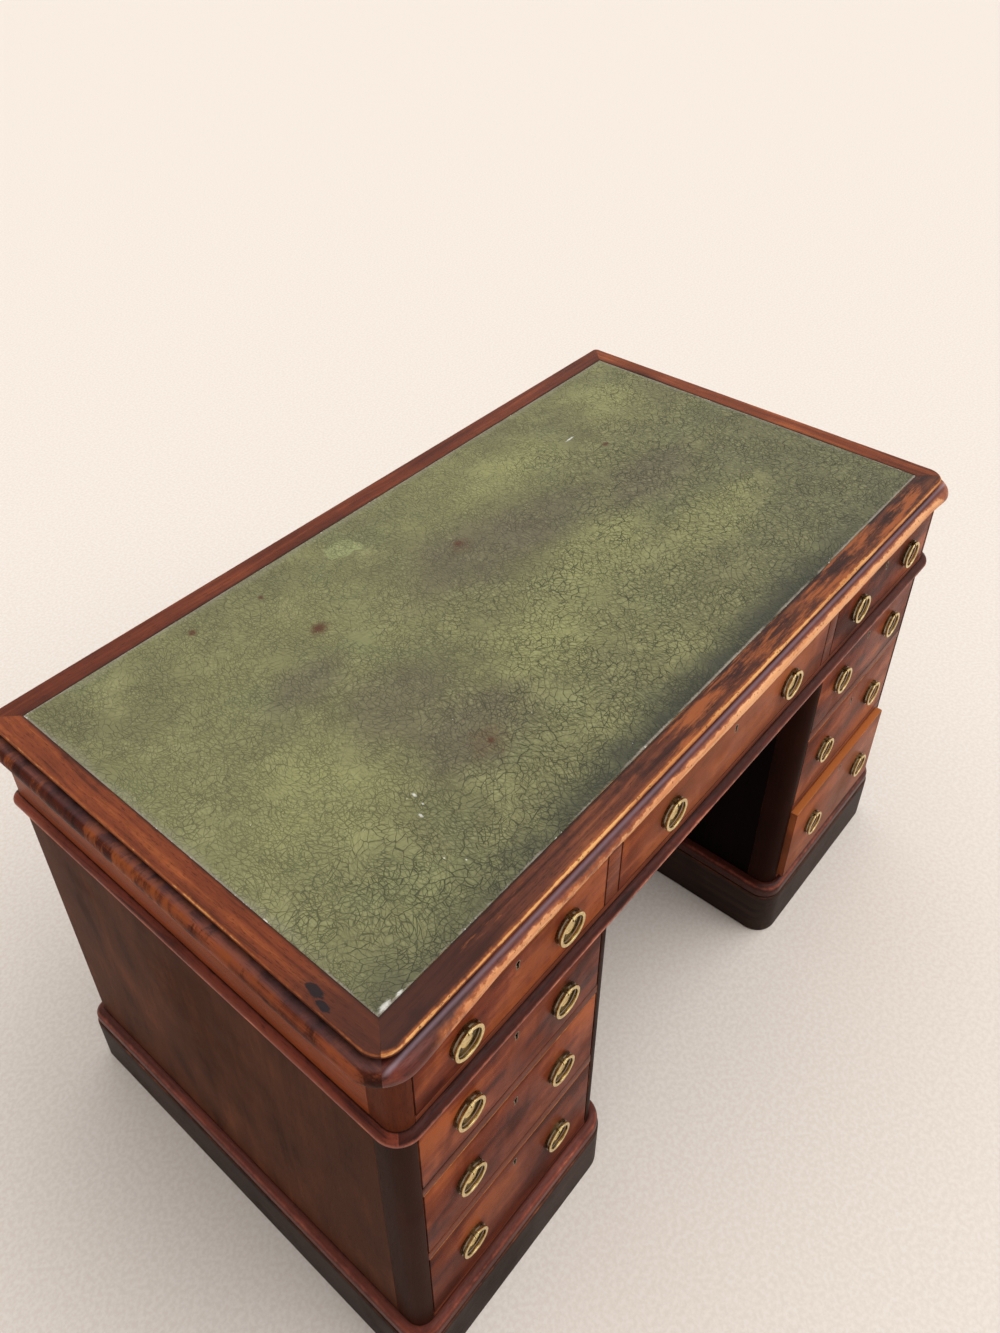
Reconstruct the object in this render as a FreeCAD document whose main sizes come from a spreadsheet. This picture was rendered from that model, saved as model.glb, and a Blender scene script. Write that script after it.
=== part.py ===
import FreeCAD, Part
import os
import re

# Pedestal desk: a leather-topped upper section with three drawers, on two pedestals of three drawers.
# Frame: +Z up, front towards -Y, origin on the floor at the middle of the carcass.

# Driving sizes in millimetres
SIZES = {
    # Carcass
    "carcass_width": 1224,
    "carcass_depth": 676,
    "panel_thick": 24,
    "post_depth": 40,
    "corner_radius": 22,
    "back_radius": 6,
    "back_thick": 12,
    # Pedestals
    "pedestal_width": 363,
    "rail_thick": 18,
    "rail_depth": 45,
    "bottom_rail_height": 9,
    "bottom_board_thick": 18,
    "pedestal_top_thick": 14,
    "bottom_drawer_height": 160,
    "middle_drawer_height": 146,
    "top_drawer_height": 124,
    # Plinth and its moulding
    "plinth_height": 92,
    "plinth_projection": 15,
    "plinth_thick": 26,
    "base_mould_height": 25,
    "base_mould_projection": 13,
    "base_mould_round": 11.5,
    "base_mould_foot_round": 3,
    # Frieze and its bead
    "frieze_rail_height": 20,
    "frieze_drawer_height": 90,
    "top_rail_thick": 10,
    "centre_opening": 496,
    "divider_width": 25,
    "dust_board_thick": 10,
    "bead_height": 20,
    "bead_projection": 10,
    "bead_round": 9.8,
    # Top
    "top_length": 1272,
    "top_depth": 702,
    "top_radius": 47,
    "top_back_radius": 22,
    "top_mould_height": 22,
    "top_mould_width": 40,
    "top_mould_crown_round": 13,
    "top_mould_foot_round": 8,
    "border_thick": 12,
    "lip_length": 1239,
    "lip_depth": 665,
    "lip_radius": 28,
    "lip_back_radius": 8,
    "lip_round": 2.5,
    "leather_length": 1173,
    "leather_depth": 598,
    "leather_thick": 1.6,
    # Drawers
    "drawer_length": 600,
    "front_thick": 20,
    "front_round": 1.2,
    "drawer_side_thick": 9,
    "drawer_bottom_thick": 6,
    "drawer_bottom_lift": 6,
    "drawer_side_drop": 7,
    "drawer_back_drop": 6,
    "side_gap": 1,
    "run_gap": 0.3,
    "head_gap": 1.2,
    "pulled_out": 10.5,
    "runner_width": 20,
    "guide_height": 24,
    # Ring pulls
    "pull_spacing": 168,
    "centre_pull_spacing": 286,
    "ring_radius": 22,
    "ring_band": 4.5,
    "ring_thick": 3.5,
    "ring_round": 1,
    "ring_standoff": 7,
    "pin_radius": 1.4,
    "pin_seat": 2,
    "pin_play": 0.05,
    "lug_width": 5,
    "lug_radius": 3,
    "lug_play": 0.5,
    "bolt_radius": 2,
    "bolt_play": 0.2,
    "bolt_tail": 2,
    "nut_width": 9,
    "nut_thick": 4,
    "plate_radius": 22,
    "plate_thick": 1.8,
    "rim_width": 2.5,
    "rim_height": 1.6,
    "boss_radius": 11.5,
    "boss_crown_radius": 8,
    "boss_height": 2.4,
    # Locks
    "frieze_key_below_head": 15,
    "top_key_below_head": 26,
    "middle_key_below_head": 26,
    "bottom_key_below_head": 15,
    "key_radius": 2.8,
    "key_slot": 2.8,
    "key_drop": 9,
    "liner_wall": 1.2,
    "liner_depth": 6,
    "lock_width": 60,
    "lock_height": 38,
    "lock_thick": 10,
    "lock_below_head": 4,
    # How far a cutting shape passes the face that it cuts
    "overrun": 1,
}

# Levels and places worked out from the driving sizes
PLACES = {
    "front_face": "-carcass_depth / 2",
    "back_face": "carcass_depth / 2",
    "end_face": "carcass_width / 2",
    "inner_back": "back_face - back_thick",
    "rail_back": "front_face + rail_depth",
    "runner_length": "inner_back - rail_back",
    "base_mould_head": "plinth_height + base_mould_height",
    "bottom_floor": "base_mould_head + bottom_rail_height",
    "bottom_head": "bottom_floor + bottom_drawer_height",
    "middle_floor": "bottom_head + rail_thick",
    "middle_head": "middle_floor + middle_drawer_height",
    "top_floor": "middle_head + rail_thick",
    "top_head": "top_floor + top_drawer_height",
    "pedestal_head": "top_head + pedestal_top_thick",
    "frieze_floor": "pedestal_head + frieze_rail_height",
    "frieze_head": "frieze_floor + frieze_drawer_height",
    "frieze_top": "frieze_head + top_rail_thick",
    "frieze_height": "frieze_top - pedestal_head",
    "frieze_inside": "carcass_width - 2 * panel_thick",
    "border_base": "frieze_top + top_mould_height",
    "desk_height": "border_base + border_thick",
    "pedestal_x": "end_face - pedestal_width / 2",
    "pedestal_inside": "pedestal_width - 2 * panel_thick",
    "divider_x": "(centre_opening + divider_width) / 2",
    "side_opening": "end_face - panel_thick - centre_opening / 2 - divider_width",
    "side_x": "end_face - panel_thick - side_opening / 2",
    "ring_mid_radius": "ring_radius - ring_band / 2",
}

doc = FreeCAD.newDocument("pedestal_desk")
sheet = doc.addObject("Spreadsheet::Sheet", "sizes")
for row, (alias, number) in enumerate(SIZES.items(), 1):
    sheet.set(f"A{row}", alias)
    sheet.set(f"B{row}", str(number))
    sheet.setAlias(f"B{row}", alias)
doc.recompute()

nodes = []


def formula(text):
    """Writes named sizes and places as an expression on the sheet's cells."""

    def cell(match):
        word = match.group()
        if word in PLACES:
            return "(" + formula(PLACES[word]) + ")"
        return "sizes." + word

    return re.sub(r"[a-z_]+", cell, text)


def size(alias):
    """The number in one cell of the sheet."""
    return getattr(sheet, alias)


def bind(obj, values):
    for prop, text in values.items():
        obj.setExpression(prop, formula(text))
    return obj


def place(obj, x, y, z):
    return bind(obj, {"Placement.Base.x": x, "Placement.Base.y": y, "Placement.Base.z": z})


def box(name, corner, spans):
    """A board from its lowest corner and its spans along X, Y and Z."""
    board = doc.addObject("Part::Box", name)
    bind(board, dict(zip(("Length", "Width", "Height"), spans)))
    return place(board, *corner)


def centred_box(name, x, y, z, spans):
    """A board that is centred on x, and starts at y and z."""
    return box(name, (f"{x} - ({spans[0]}) / 2", y, z), spans)


TURNS = {
    "x": FreeCAD.Rotation(FreeCAD.Vector(0, 1, 0), 90),
    "y": FreeCAD.Rotation(FreeCAD.Vector(1, 0, 0), -90),
}


def rod(name, axis, start, radius, length):
    """A cylinder from its start along X or Y."""
    cylinder = doc.addObject("Part::Cylinder", name)
    cylinder.Placement = FreeCAD.Placement(FreeCAD.Vector(), TURNS[axis])
    bind(cylinder, {"Radius": radius, "Height": length})
    return place(cylinder, *start)


def fuse(name, shapes):
    joined = doc.addObject("Part::MultiFuse", name)
    joined.Shapes = shapes
    joined.Refine = True
    return joined


def cut(name, base, tool):
    remains = doc.addObject("Part::Cut", name)
    remains.Base = base
    remains.Tool = tool
    return remains


def group(label, shapes):
    """Separate solids of one node."""
    held = doc.addObject("Part::Compound", label)
    held.Links = shapes
    return node(label, held)


def node(label, obj):
    obj.Label = label
    nodes.append(obj)
    return obj


def rounded(base, radius_of):
    """Rounds the edges to which radius_of gives a radius."""
    doc.recompute()
    shape = base.Shape
    softened = doc.addObject("Part::Fillet", base.Name + "_rounded")
    softened.Base = base
    radii = [radius_of(edge, shape.BoundBox) for edge in shape.Edges]
    softened.Edges = [(index, radius, radius) for index, radius in enumerate(radii, 1) if radius]
    return softened


def is_upright(edge, bounds):
    return edge.BoundBox.ZLength > bounds.ZLength / 2


def upright_edges(front_radius, back_radius):
    def radius_of(edge, bounds):
        if not is_upright(edge, bounds):
            return 0
        return front_radius if edge.CenterOfMass.y < bounds.Center.y else back_radius

    return radius_of


def one_corner(x_side, y_side, radius):
    """The upright edge at the corner on the given sides of the board."""

    def radius_of(edge, bounds):
        offset = edge.CenterOfMass - bounds.Center
        at_corner = offset.x * x_side > 0 and offset.y * y_side > 0
        return radius if is_upright(edge, bounds) and at_corner else 0

    return radius_of


def level_edges(head_radius, foot_radius):
    def radius_of(edge, bounds):
        if edge.BoundBox.ZLength > bounds.ZLength / 2:
            return 0
        return head_radius if edge.CenterOfMass.z > bounds.Center.z else foot_radius

    return radius_of


def front_edges(radius):
    def radius_of(edge, bounds):
        in_front = edge.BoundBox.YLength < bounds.YLength / 2 and edge.CenterOfMass.y < bounds.Center.y
        return radius if in_front else 0

    return radius_of


def slab(name, x, z, spans, front_radius, back_radius):
    """A level slab, centred on x and on the carcass, with round upright edges."""
    plain = centred_box(name, x, f"-({spans[1]}) / 2", z, spans)
    return rounded(plain, upright_edges(front_radius, back_radius))


def mitred_lengths(ring, x, z, outer, inner, height):
    """Cuts a ring moulding into front, right, back and left lengths with mitred ends."""
    spare_share = 0.1
    wide = [f"({o} + ({o} - ({i})) * {spare_share}) / 2" for o, i in zip(outer, inner)]
    narrow = [f"({i} - ({o} - ({i})) * {spare_share}) / 2" for o, i in zip(outer, inner)]
    lengths = []
    for quarter, side in enumerate(("front", "right", "back", "left")):
        along, across = (0, 1) if quarter % 2 == 0 else (1, 0)
        wedge = doc.addObject("Part::Wedge", f"{ring.Name}_{side}_mitre")
        turn = FreeCAD.Rotation(FreeCAD.Vector(0, 0, 1), quarter * 90)
        wedge.Placement = FreeCAD.Placement(FreeCAD.Vector(), turn)
        bind(wedge, {
            "Xmin": f"-{wide[along]}", "Xmax": wide[along],
            "X2min": f"-{narrow[along]}", "X2max": narrow[along],
            "Ymin": f"-{wide[across]}", "Ymax": f"-{narrow[across]}",
            "Zmin": "-overrun", "Zmax": f"{height} + overrun",
            "Z2min": "-overrun", "Z2max": f"{height} + overrun",
        })
        place(wedge, x, "0", z)
        length = doc.addObject("Part::Common", f"{ring.Name}_{side}")
        length.Base = ring
        length.Tool = wedge
        lengths.append(length)
    return lengths


def side_walls(name, x_edges, z, height):
    """Rounded front posts and the panels behind them, one pair at each outer face."""
    walls = []
    for outer, x_side in x_edges:
        low = outer if x_side < 0 else f"{outer} - panel_thick"
        tag = "left" if x_side < 0 else "right"
        post = box(f"{name}_{tag}_post", (low, "front_face", z), ("panel_thick", "post_depth", height))
        panel = box(
            f"{name}_{tag}_panel",
            (low, "front_face + post_depth", z),
            ("panel_thick", "carcass_depth - post_depth", height),
        )
        walls.append(rounded(post, one_corner(x_side, -1, size("corner_radius"))))
        walls.append(rounded(panel, one_corner(x_side, 1, size("back_radius"))))
    return walls


# Top: leather, panel, border boards and edge moulding
def build_top():
    leather = ("leather_length", "leather_depth")
    mould_inner = ("top_length - 2 * top_mould_width", "top_depth - 2 * top_mould_width")
    skiver = centred_box(
        "skiver", "0", "-leather_depth / 2", "desk_height - leather_thick", (*leather, "leather_thick"))
    node("leather_skiver", skiver)
    board = centred_box(
        "board", "0", "-(top_depth - 2 * top_mould_width) / 2", "frieze_top",
        (*mould_inner, "top_mould_height"))
    field = centred_box(
        "field", "0", "-leather_depth / 2", "border_base", (*leather, "border_thick - leather_thick"))
    node("top_panel", fuse("panel", [board, field]))

    rim = slab(
        "border_slab", "0", "border_base", ("lip_length", "lip_depth", "border_thick"),
        size("lip_radius"), size("lip_back_radius"))
    rim = rounded(rim, level_edges(size("lip_round"), 0))
    well = centred_box(
        "border_well", "0", "-leather_depth / 2", "border_base - overrun",
        (*leather, "border_thick + 2 * overrun"))
    border = cut("border", rim, well)
    group("top_border", mitred_lengths(
        border, "0", "border_base", ("lip_length", "lip_depth"), leather, "border_thick"))

    nose = slab(
        "nose_slab", "0", "frieze_top", ("top_length", "top_depth", "top_mould_height"),
        size("top_radius"), size("top_back_radius"))
    nose = rounded(nose, level_edges(size("top_mould_crown_round"), size("top_mould_foot_round")))
    well = centred_box(
        "nose_well", "0", "-(top_depth - 2 * top_mould_width) / 2", "frieze_top - overrun",
        (*mould_inner, "top_mould_height + 2 * overrun"))
    moulding = cut("nose", nose, well)
    group("top_edge_moulding", mitred_lengths(
        moulding, "0", "frieze_top", ("top_length", "top_depth"), mould_inner, "top_mould_height"))


# Frieze: end walls, front frame, dust board and bead
def build_frieze():
    ends = (("-end_face", -1), ("end_face", 1))
    group("frieze_ends", side_walls("frieze", ends, "pedestal_head", "frieze_height"))
    inside = "frieze_inside"
    frame = [
        centred_box(
            "frieze_lower_rail", "0", "front_face", "pedestal_head",
            (inside, "rail_depth", "frieze_rail_height")),
        centred_box(
            "frieze_upper_rail", "0", "front_face", "frieze_head", (inside, "rail_depth", "top_rail_thick")),
        centred_box(
            "dust_board", "0", "rail_back", "pedestal_head", (inside, "runner_length", "dust_board_thick")),
    ]
    for tag, x in (("left", "-divider_x"), ("right", "divider_x")):
        frame.append(centred_box(
            f"{tag}_divider", x, "front_face", "frieze_floor",
            ("divider_width", "rail_depth", "frieze_drawer_height")))
    group("frieze_frame", frame)

    outer = ("carcass_width + 2 * bead_projection", "carcass_depth + 2 * bead_projection")
    carcass = ("carcass_width", "carcass_depth")
    low = "pedestal_head - bead_height / 2"
    round_rod = slab(
        "bead_slab", "0", low, (*outer, "bead_height"),
        size("corner_radius") + size("bead_projection"), size("back_radius") + size("bead_projection"))
    round_rod = rounded(round_rod, level_edges(size("bead_round"), size("bead_round")))
    core = slab(
        "bead_core", "0", f"{low} - overrun", (*carcass, "bead_height + 2 * overrun"),
        size("corner_radius"), size("back_radius"))
    bead = cut("bead", round_rod, core)
    corner_inner = [f"{span} - 2 * corner_radius" for span in carcass]
    group("frieze_bead", mitred_lengths(bead, "0", low, outer, corner_inner, "bead_height"))


# One pedestal: side walls, boards and rails, plinth
def build_pedestal(tag, side):
    x = f"{side} * pedestal_x"
    faces = ((f"{x} - pedestal_width / 2", -1), (f"{x} + pedestal_width / 2", 1))
    wall_height = "pedestal_head - plinth_height"
    group(f"{tag}_pedestal_sides", side_walls(f"{tag}_pedestal", faces, "plinth_height", wall_height))

    full_depth = "inner_back - (front_face)"
    boards = (
        ("bottom_board", "bottom_floor - bottom_board_thick", full_depth, "bottom_board_thick"),
        ("lower_rail", "bottom_head", "rail_depth", "rail_thick"),
        ("upper_rail", "middle_head", "rail_depth", "rail_thick"),
        ("top_board", "top_head", full_depth, "pedestal_top_thick"),
    )
    group(f"{tag}_pedestal_frame", [
        centred_box(f"{tag}_{name}", x, "front_face", z, ("pedestal_inside", depth, thick))
        for name, z, depth, thick in boards
    ])

    carcass = ("pedestal_width", "carcass_depth")
    outer = [f"{span} + 2 * plinth_projection" for span in carcass]
    hollow = [f"{span} + 2 * plinth_projection - 2 * plinth_thick" for span in carcass]
    skirt = slab(
        f"{tag}_skirt_slab", x, "0", (*outer, "plinth_height"),
        size("corner_radius") + size("plinth_projection"), size("back_radius") + size("plinth_projection"))
    well = centred_box(
        f"{tag}_skirt_well", x, f"-({hollow[1]}) / 2", "-overrun", (*hollow, "plinth_height + 2 * overrun"))
    skirt = cut(f"{tag}_skirt", skirt, well)
    pieces = mitred_lengths(skirt, x, "0", outer, hollow, "plinth_height")

    outer = [f"{span} + 2 * base_mould_projection" for span in carcass]
    mould = slab(
        f"{tag}_base_slab", x, "plinth_height", (*outer, "base_mould_height"),
        size("corner_radius") + size("base_mould_projection"),
        size("back_radius") + size("base_mould_projection"))
    mould = rounded(mould, level_edges(size("base_mould_round"), size("base_mould_foot_round")))
    core = slab(
        f"{tag}_base_core", x, "plinth_height - overrun", (*carcass, "base_mould_height + 2 * overrun"),
        size("corner_radius"), size("back_radius"))
    mould = cut(f"{tag}_base_mould", mould, core)
    corner_inner = [f"{span} - 2 * corner_radius" for span in carcass]
    pieces += mitred_lengths(mould, x, "plinth_height", outer, corner_inner, "base_mould_height")
    group(f"{tag}_plinth", pieces)


# Back boards of the frieze and of both pedestals
def build_backs():
    backs = [centred_box(
        "frieze_back", "0", "inner_back", "pedestal_head", ("frieze_inside", "back_thick", "frieze_height"))]
    for tag, side in (("left", "-1"), ("right", "1")):
        backs.append(centred_box(
            f"{tag}_back", f"{side} * pedestal_x", "inner_back", "plinth_height",
            ("pedestal_inside", "back_thick", "pedestal_head - plinth_height")))
    group("back_boards", backs)


# Runners under the drawer sides, and guides between the frieze drawers
def build_runners():
    strips = []
    for tag, side in (("left", "-1"), ("right", "1")):
        for level in ("bottom_head", "middle_head"):
            for end, hand in (("inner", -1), ("outer", 1)):
                offset = f"{side} * (pedestal_x + {hand} * (pedestal_inside - runner_width) / 2)"
                strips.append(centred_box(
                    f"{tag}_{level}_{end}_runner", offset, "rail_back", level,
                    ("runner_width", "runner_length", "rail_thick")))
        lift = "frieze_rail_height - dust_board_thick"
        dust_top = "pedestal_head + dust_board_thick"
        strips.append(centred_box(
            f"{tag}_end_runner", f"{side} * (frieze_inside - runner_width) / 2", "rail_back", dust_top,
            ("runner_width", "runner_length", lift)))
        strips.append(centred_box(
            f"{tag}_middle_runner", f"{side} * divider_x", "rail_back", dust_top,
            ("divider_width + 2 * runner_width", "runner_length", lift)))
        strips.append(centred_box(
            f"{tag}_guide", f"{side} * divider_x", "rail_back", "frieze_floor",
            ("divider_width", "runner_length", "guide_height")))
    group("drawer_runners", strips)


# Drawers: level, middle x, opening width, pull spacing, and how far it stands open
DRAWERS = {
    "frieze_left": ("frieze", "-side_x", "side_opening", "pull_spacing", "0"),
    "frieze_centre": ("frieze", "0", "centre_opening", "centre_pull_spacing", "0"),
    "frieze_right": ("frieze", "side_x", "side_opening", "pull_spacing", "0"),
}
for tag, side in (("left", "-1"), ("right", "1")):
    for level in ("top", "middle", "bottom"):
        opened = "pulled_out" if (tag, level) == ("right", "bottom") else "0"
        DRAWERS[f"{tag}_{level}"] = (level, f"{side} * pedestal_x", "pedestal_inside", "pull_spacing", opened)


def keyhole(name, x, y, z, grown, depth):
    """A round head over a straight slot, grown all round by a wall."""
    head = rod(f"{name}_head", "y", (x, y, z), f"key_radius + {grown}", depth)
    slot = centred_box(
        f"{name}_slot", x, y, f"{z} - key_drop - {grown}",
        (f"key_slot + 2 * {grown}", depth, f"key_drop + {grown}"))
    return fuse(name, [head, slot])


def build_drawer(name, level, x, opening, spacing, opened):
    floor, height = f"{level}_floor", f"{level}_drawer_height"
    face = f"front_face - {opened}"
    width = f"{opening} - 2 * side_gap"
    low = f"{floor} + run_gap"
    head = f"{floor} + {height} - head_gap"
    key_z = f"{head} - {level}_key_below_head"
    ring_z = f"{floor} + {height} / 2"
    pin_z = f"{ring_z} + ring_mid_radius"
    pulls = {"left": f"{x} - {spacing} / 2", "right": f"{x} + {spacing} / 2"}

    front = centred_box(f"{name}_board", x, face, low, (width, "front_thick", f"{head} - ({low})"))
    front = rounded(front, front_edges(size("front_round")))
    through = "front_thick + 2 * overrun"
    holes = [
        keyhole(f"{name}_liner_seat", x, f"{face} - overrun", key_z, "liner_wall", "liner_depth + overrun"),
        keyhole(f"{name}_keyway", x, f"{face} - overrun", key_z, "0", through),
    ]
    for tag, pull_x in pulls.items():
        start = (pull_x, f"{face} - overrun", pin_z)
        holes.append(rod(f"{name}_{tag}_bolt_hole", "y", start, "bolt_radius + bolt_play", through))
    node(f"{name}_drawer_front", cut(f"{name}_front", front, fuse(f"{name}_front_holes", holes)))

    build_drawer_box(name, x, f"{face} + front_thick", low, width, f"{head} - ({low})")

    brass = [build_liner(name, x, face, key_z), build_lock(name, x, face, head)]
    for tag, pull_x in pulls.items():
        brass += build_pull(f"{name}_{tag}", pull_x, face, ring_z, pin_z)
        build_ring(f"{name}_{tag}", pull_x, face, ring_z, pin_z)
    group(f"{name}_drawer_brass", brass)


def build_drawer_box(name, x, y, low, width, height):
    """Sides, bottom and back behind the drawer front."""
    length = "drawer_length - front_thick"
    wall = f"{height} - drawer_side_drop"
    inside = f"{width} - 2 * drawer_side_thick"
    side_offset = f"({width} - drawer_side_thick) / 2"
    bottom_z = f"{low} + drawer_bottom_lift"
    back_z = f"{bottom_z} + drawer_bottom_thick"
    back_y = f"{y} + {length} - drawer_side_thick"
    back_height = f"{wall} - drawer_bottom_lift - drawer_bottom_thick - drawer_back_drop"
    sides = ("drawer_side_thick", length, wall)
    group(f"{name}_drawer_box", [
        centred_box(f"{name}_left_side", f"{x} - {side_offset}", y, low, sides),
        centred_box(f"{name}_right_side", f"{x} + {side_offset}", y, low, sides),
        centred_box(f"{name}_bottom", x, y, bottom_z, (inside, length, "drawer_bottom_thick")),
        centred_box(f"{name}_back", x, back_y, back_z, (inside, "drawer_side_thick", back_height)),
    ])


def build_liner(name, x, face, key_z):
    outer = keyhole(f"{name}_liner_body", x, face, key_z, "liner_wall", "liner_depth")
    inner = keyhole(f"{name}_liner_way", x, f"{face} - overrun", key_z, "0", "liner_depth + 2 * overrun")
    return cut(f"{name}_keyhole_liner", outer, inner)


def build_lock(name, x, face, head):
    return centred_box(
        f"{name}_lock", x, f"{face} + front_thick", f"{head} - lock_below_head - lock_height",
        ("lock_width", "lock_thick", "lock_height"))


def build_pull(name, x, face, ring_z, pin_z):
    """Backplate, eye bolt and nut of one ring pull."""
    plate_face = f"{face} - plate_thick"
    rim_face = f"{plate_face} - rim_height"
    disc = rod(f"{name}_disc", "y", (x, plate_face, ring_z), "plate_radius", "plate_thick")
    rim = cut(
        f"{name}_rim",
        rod(f"{name}_rim_outer", "y", (x, rim_face, ring_z), "plate_radius", "rim_height"),
        rod(f"{name}_rim_inner", "y", (x, f"{rim_face} - overrun", ring_z),
            "plate_radius - rim_width", "rim_height + 2 * overrun"))
    boss = doc.addObject("Part::Cone", f"{name}_boss")
    boss.Placement = FreeCAD.Placement(FreeCAD.Vector(), TURNS["y"])
    bind(boss, {"Radius1": "boss_crown_radius", "Radius2": "boss_radius", "Height": "boss_height"})
    place(boss, x, f"{plate_face} - boss_height", ring_z)
    plate = fuse(f"{name}_plate_body", [disc, rim, boss])
    notch = centred_box(
        f"{name}_lug_seat", x, f"{rim_face} - overrun", f"{pin_z} - lug_radius",
        ("lug_width", "rim_height + plate_thick + 2 * overrun", "2 * lug_radius + ring_band"))
    plate = cut(f"{name}_plate", plate, notch)

    pin_y = f"{face} - ring_standoff"
    lug_x = f"{x} - lug_width / 2"
    arm = centred_box(
        f"{name}_lug_arm", x, pin_y, f"{pin_z} - lug_radius",
        ("lug_width", "ring_standoff", "2 * lug_radius"))
    end = rod(f"{name}_lug_end", "x", (lug_x, pin_y, pin_z), "lug_radius", "lug_width")
    tail = "front_thick + nut_thick + bolt_tail"
    shank = rod(f"{name}_shank", "y", (x, face, pin_z), "bolt_radius", tail)
    bore = rod(
        f"{name}_bore", "x", (f"{lug_x} - overrun", pin_y, pin_z), "pin_radius + pin_play",
        "lug_width + 2 * overrun")
    eye_bolt = cut(f"{name}_eye_bolt", fuse(f"{name}_eye", [arm, end, shank]), bore)

    nut_y = f"{face} + front_thick"
    block = centred_box(
        f"{name}_nut_block", x, nut_y, f"{pin_z} - nut_width / 2", ("nut_width", "nut_thick", "nut_width"))
    thread = rod(
        f"{name}_nut_thread", "y", (x, f"{nut_y} - overrun", pin_z), "bolt_radius",
        "nut_thick + 2 * overrun")
    return [plate, eye_bolt, cut(f"{name}_nut", block, thread)]


def build_ring(name, x, face, ring_z, pin_z):
    """The loose ring: a flat band, open at the top, closed by its hinge pin."""
    back = f"{face} - ring_standoff - ring_thick / 2"
    disc = rod(f"{name}_ring_disc", "y", (x, back, ring_z), "ring_radius", "ring_thick")
    hole = rod(
        f"{name}_ring_hole", "y", (x, f"{back} - overrun", ring_z), "ring_radius - ring_band",
        "ring_thick + 2 * overrun")
    band = cut(f"{name}_ring_band", disc, hole)
    band = rounded(band, lambda edge, bounds: size("ring_round") if edge.isClosed() else 0)
    gap = "lug_width + 2 * lug_play"
    slot = centred_box(
        f"{name}_ring_slot", x, f"{back} - overrun", f"{pin_z} - ring_band",
        (gap, "ring_thick + 2 * overrun", "2 * ring_band"))
    open_band = cut(f"{name}_open_band", band, slot)
    pin = rod(
        f"{name}_ring_pin", "x", (f"{x} - ({gap}) / 2 - pin_seat", f"{face} - ring_standoff", pin_z),
        "pin_radius", f"{gap} + 2 * pin_seat")
    node(f"{name}_ring", fuse(f"{name}_whole_ring", [open_band, pin]))


build_top()
build_frieze()
for tag, side in (("left", "-1"), ("right", "1")):
    build_pedestal(tag, side)
build_backs()
build_runners()
for name, drawer in DRAWERS.items():
    build_drawer(name, *drawer)
doc.recompute()

for obj in doc.Objects:
    if "Invalid" in obj.State or "Error" in obj.State:
        raise SystemExit(f"{obj.Name} failed to build: {obj.State}")
for obj in nodes:
    if obj.Shape.isNull() or not obj.Shape.isValid():
        raise SystemExit(f"{obj.Label} has no valid shape")

os.makedirs("parts", exist_ok=True)
for obj in nodes:
    obj.Shape.exportStep(f"parts/{obj.Label}.step")
    print(f"{obj.Label}: {len(obj.Shape.Solids)} solids, {obj.Shape.Volume:.0f} mm3")
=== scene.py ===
import math
import bpy
import bmesh
from mathutils import Matrix, Vector, noise


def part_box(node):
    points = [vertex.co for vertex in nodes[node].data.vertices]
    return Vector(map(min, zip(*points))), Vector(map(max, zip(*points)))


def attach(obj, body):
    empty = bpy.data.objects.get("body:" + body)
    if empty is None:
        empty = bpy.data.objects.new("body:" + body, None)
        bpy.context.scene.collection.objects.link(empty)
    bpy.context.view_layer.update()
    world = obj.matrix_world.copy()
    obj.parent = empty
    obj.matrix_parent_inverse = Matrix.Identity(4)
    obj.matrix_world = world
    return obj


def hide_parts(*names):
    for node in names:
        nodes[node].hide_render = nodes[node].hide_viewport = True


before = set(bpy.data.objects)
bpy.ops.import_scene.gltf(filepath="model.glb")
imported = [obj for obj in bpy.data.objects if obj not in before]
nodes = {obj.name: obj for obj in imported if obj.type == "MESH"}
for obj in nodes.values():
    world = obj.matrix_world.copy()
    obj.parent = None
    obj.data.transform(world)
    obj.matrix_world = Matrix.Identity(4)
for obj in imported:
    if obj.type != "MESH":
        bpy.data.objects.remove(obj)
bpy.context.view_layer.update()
mm = 0.001
print("frame loaded:", len(nodes), "nodes")

screen = {"levels": 255, "knee": 0.04045, "slope": 12.92, "lift": 0.055, "power": 2.4}


# Colours are written as they look on screen, 0 to 255
def seen(red, green, blue):
    def toLight(level):
        share = level / screen["levels"]
        if share <= screen["knee"]:
            return share / screen["slope"]
        return ((share + screen["lift"]) / (1 + screen["lift"])) ** screen["power"]
    return (toLight(red), toLight(green), toLight(blue), 1.0)


# Shader node helpers
noiseMiddle = 0.5


def feed(tree, socket, value):
    if isinstance(value, bpy.types.NodeSocket):
        tree.links.new(value, socket)
    else:
        socket.default_value = value


def put(tree, kind, feeds=None, **settings):
    node = tree.nodes.new(kind)
    for name, value in settings.items():
        setattr(node, name, value)
    for key, value in (feeds or {}).items():
        feed(tree, node.inputs[key], value)
    return node


def maths(tree, operation, first, second=0.0):
    return put(tree, "ShaderNodeMath", {0: first, 1: second}, operation=operation).outputs[0]


def times(tree, first, second):
    return maths(tree, "MULTIPLY", first, second)


def plus(tree, first, second):
    return maths(tree, "ADD", first, second)


def minus(tree, first, second):
    return maths(tree, "SUBTRACT", first, second)


def larger(tree, first, second):
    return maths(tree, "MAXIMUM", first, second)


def smaller(tree, first, second):
    return maths(tree, "MINIMUM", first, second)


def unsigned(tree, value):
    return maths(tree, "ABSOLUTE", value)


# Noise about zero instead of about its middle, and that times a gain
def centred(tree, value):
    return minus(tree, value, noiseMiddle)


def swing(tree, value, gain):
    return times(tree, centred(tree, value), gain)


def vectorMaths(tree, operation, first, second=(0.0, 0.0, 0.0)):
    return put(tree, "ShaderNodeVectorMath", {0: first, 1: second}, operation=operation).outputs[0]


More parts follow.
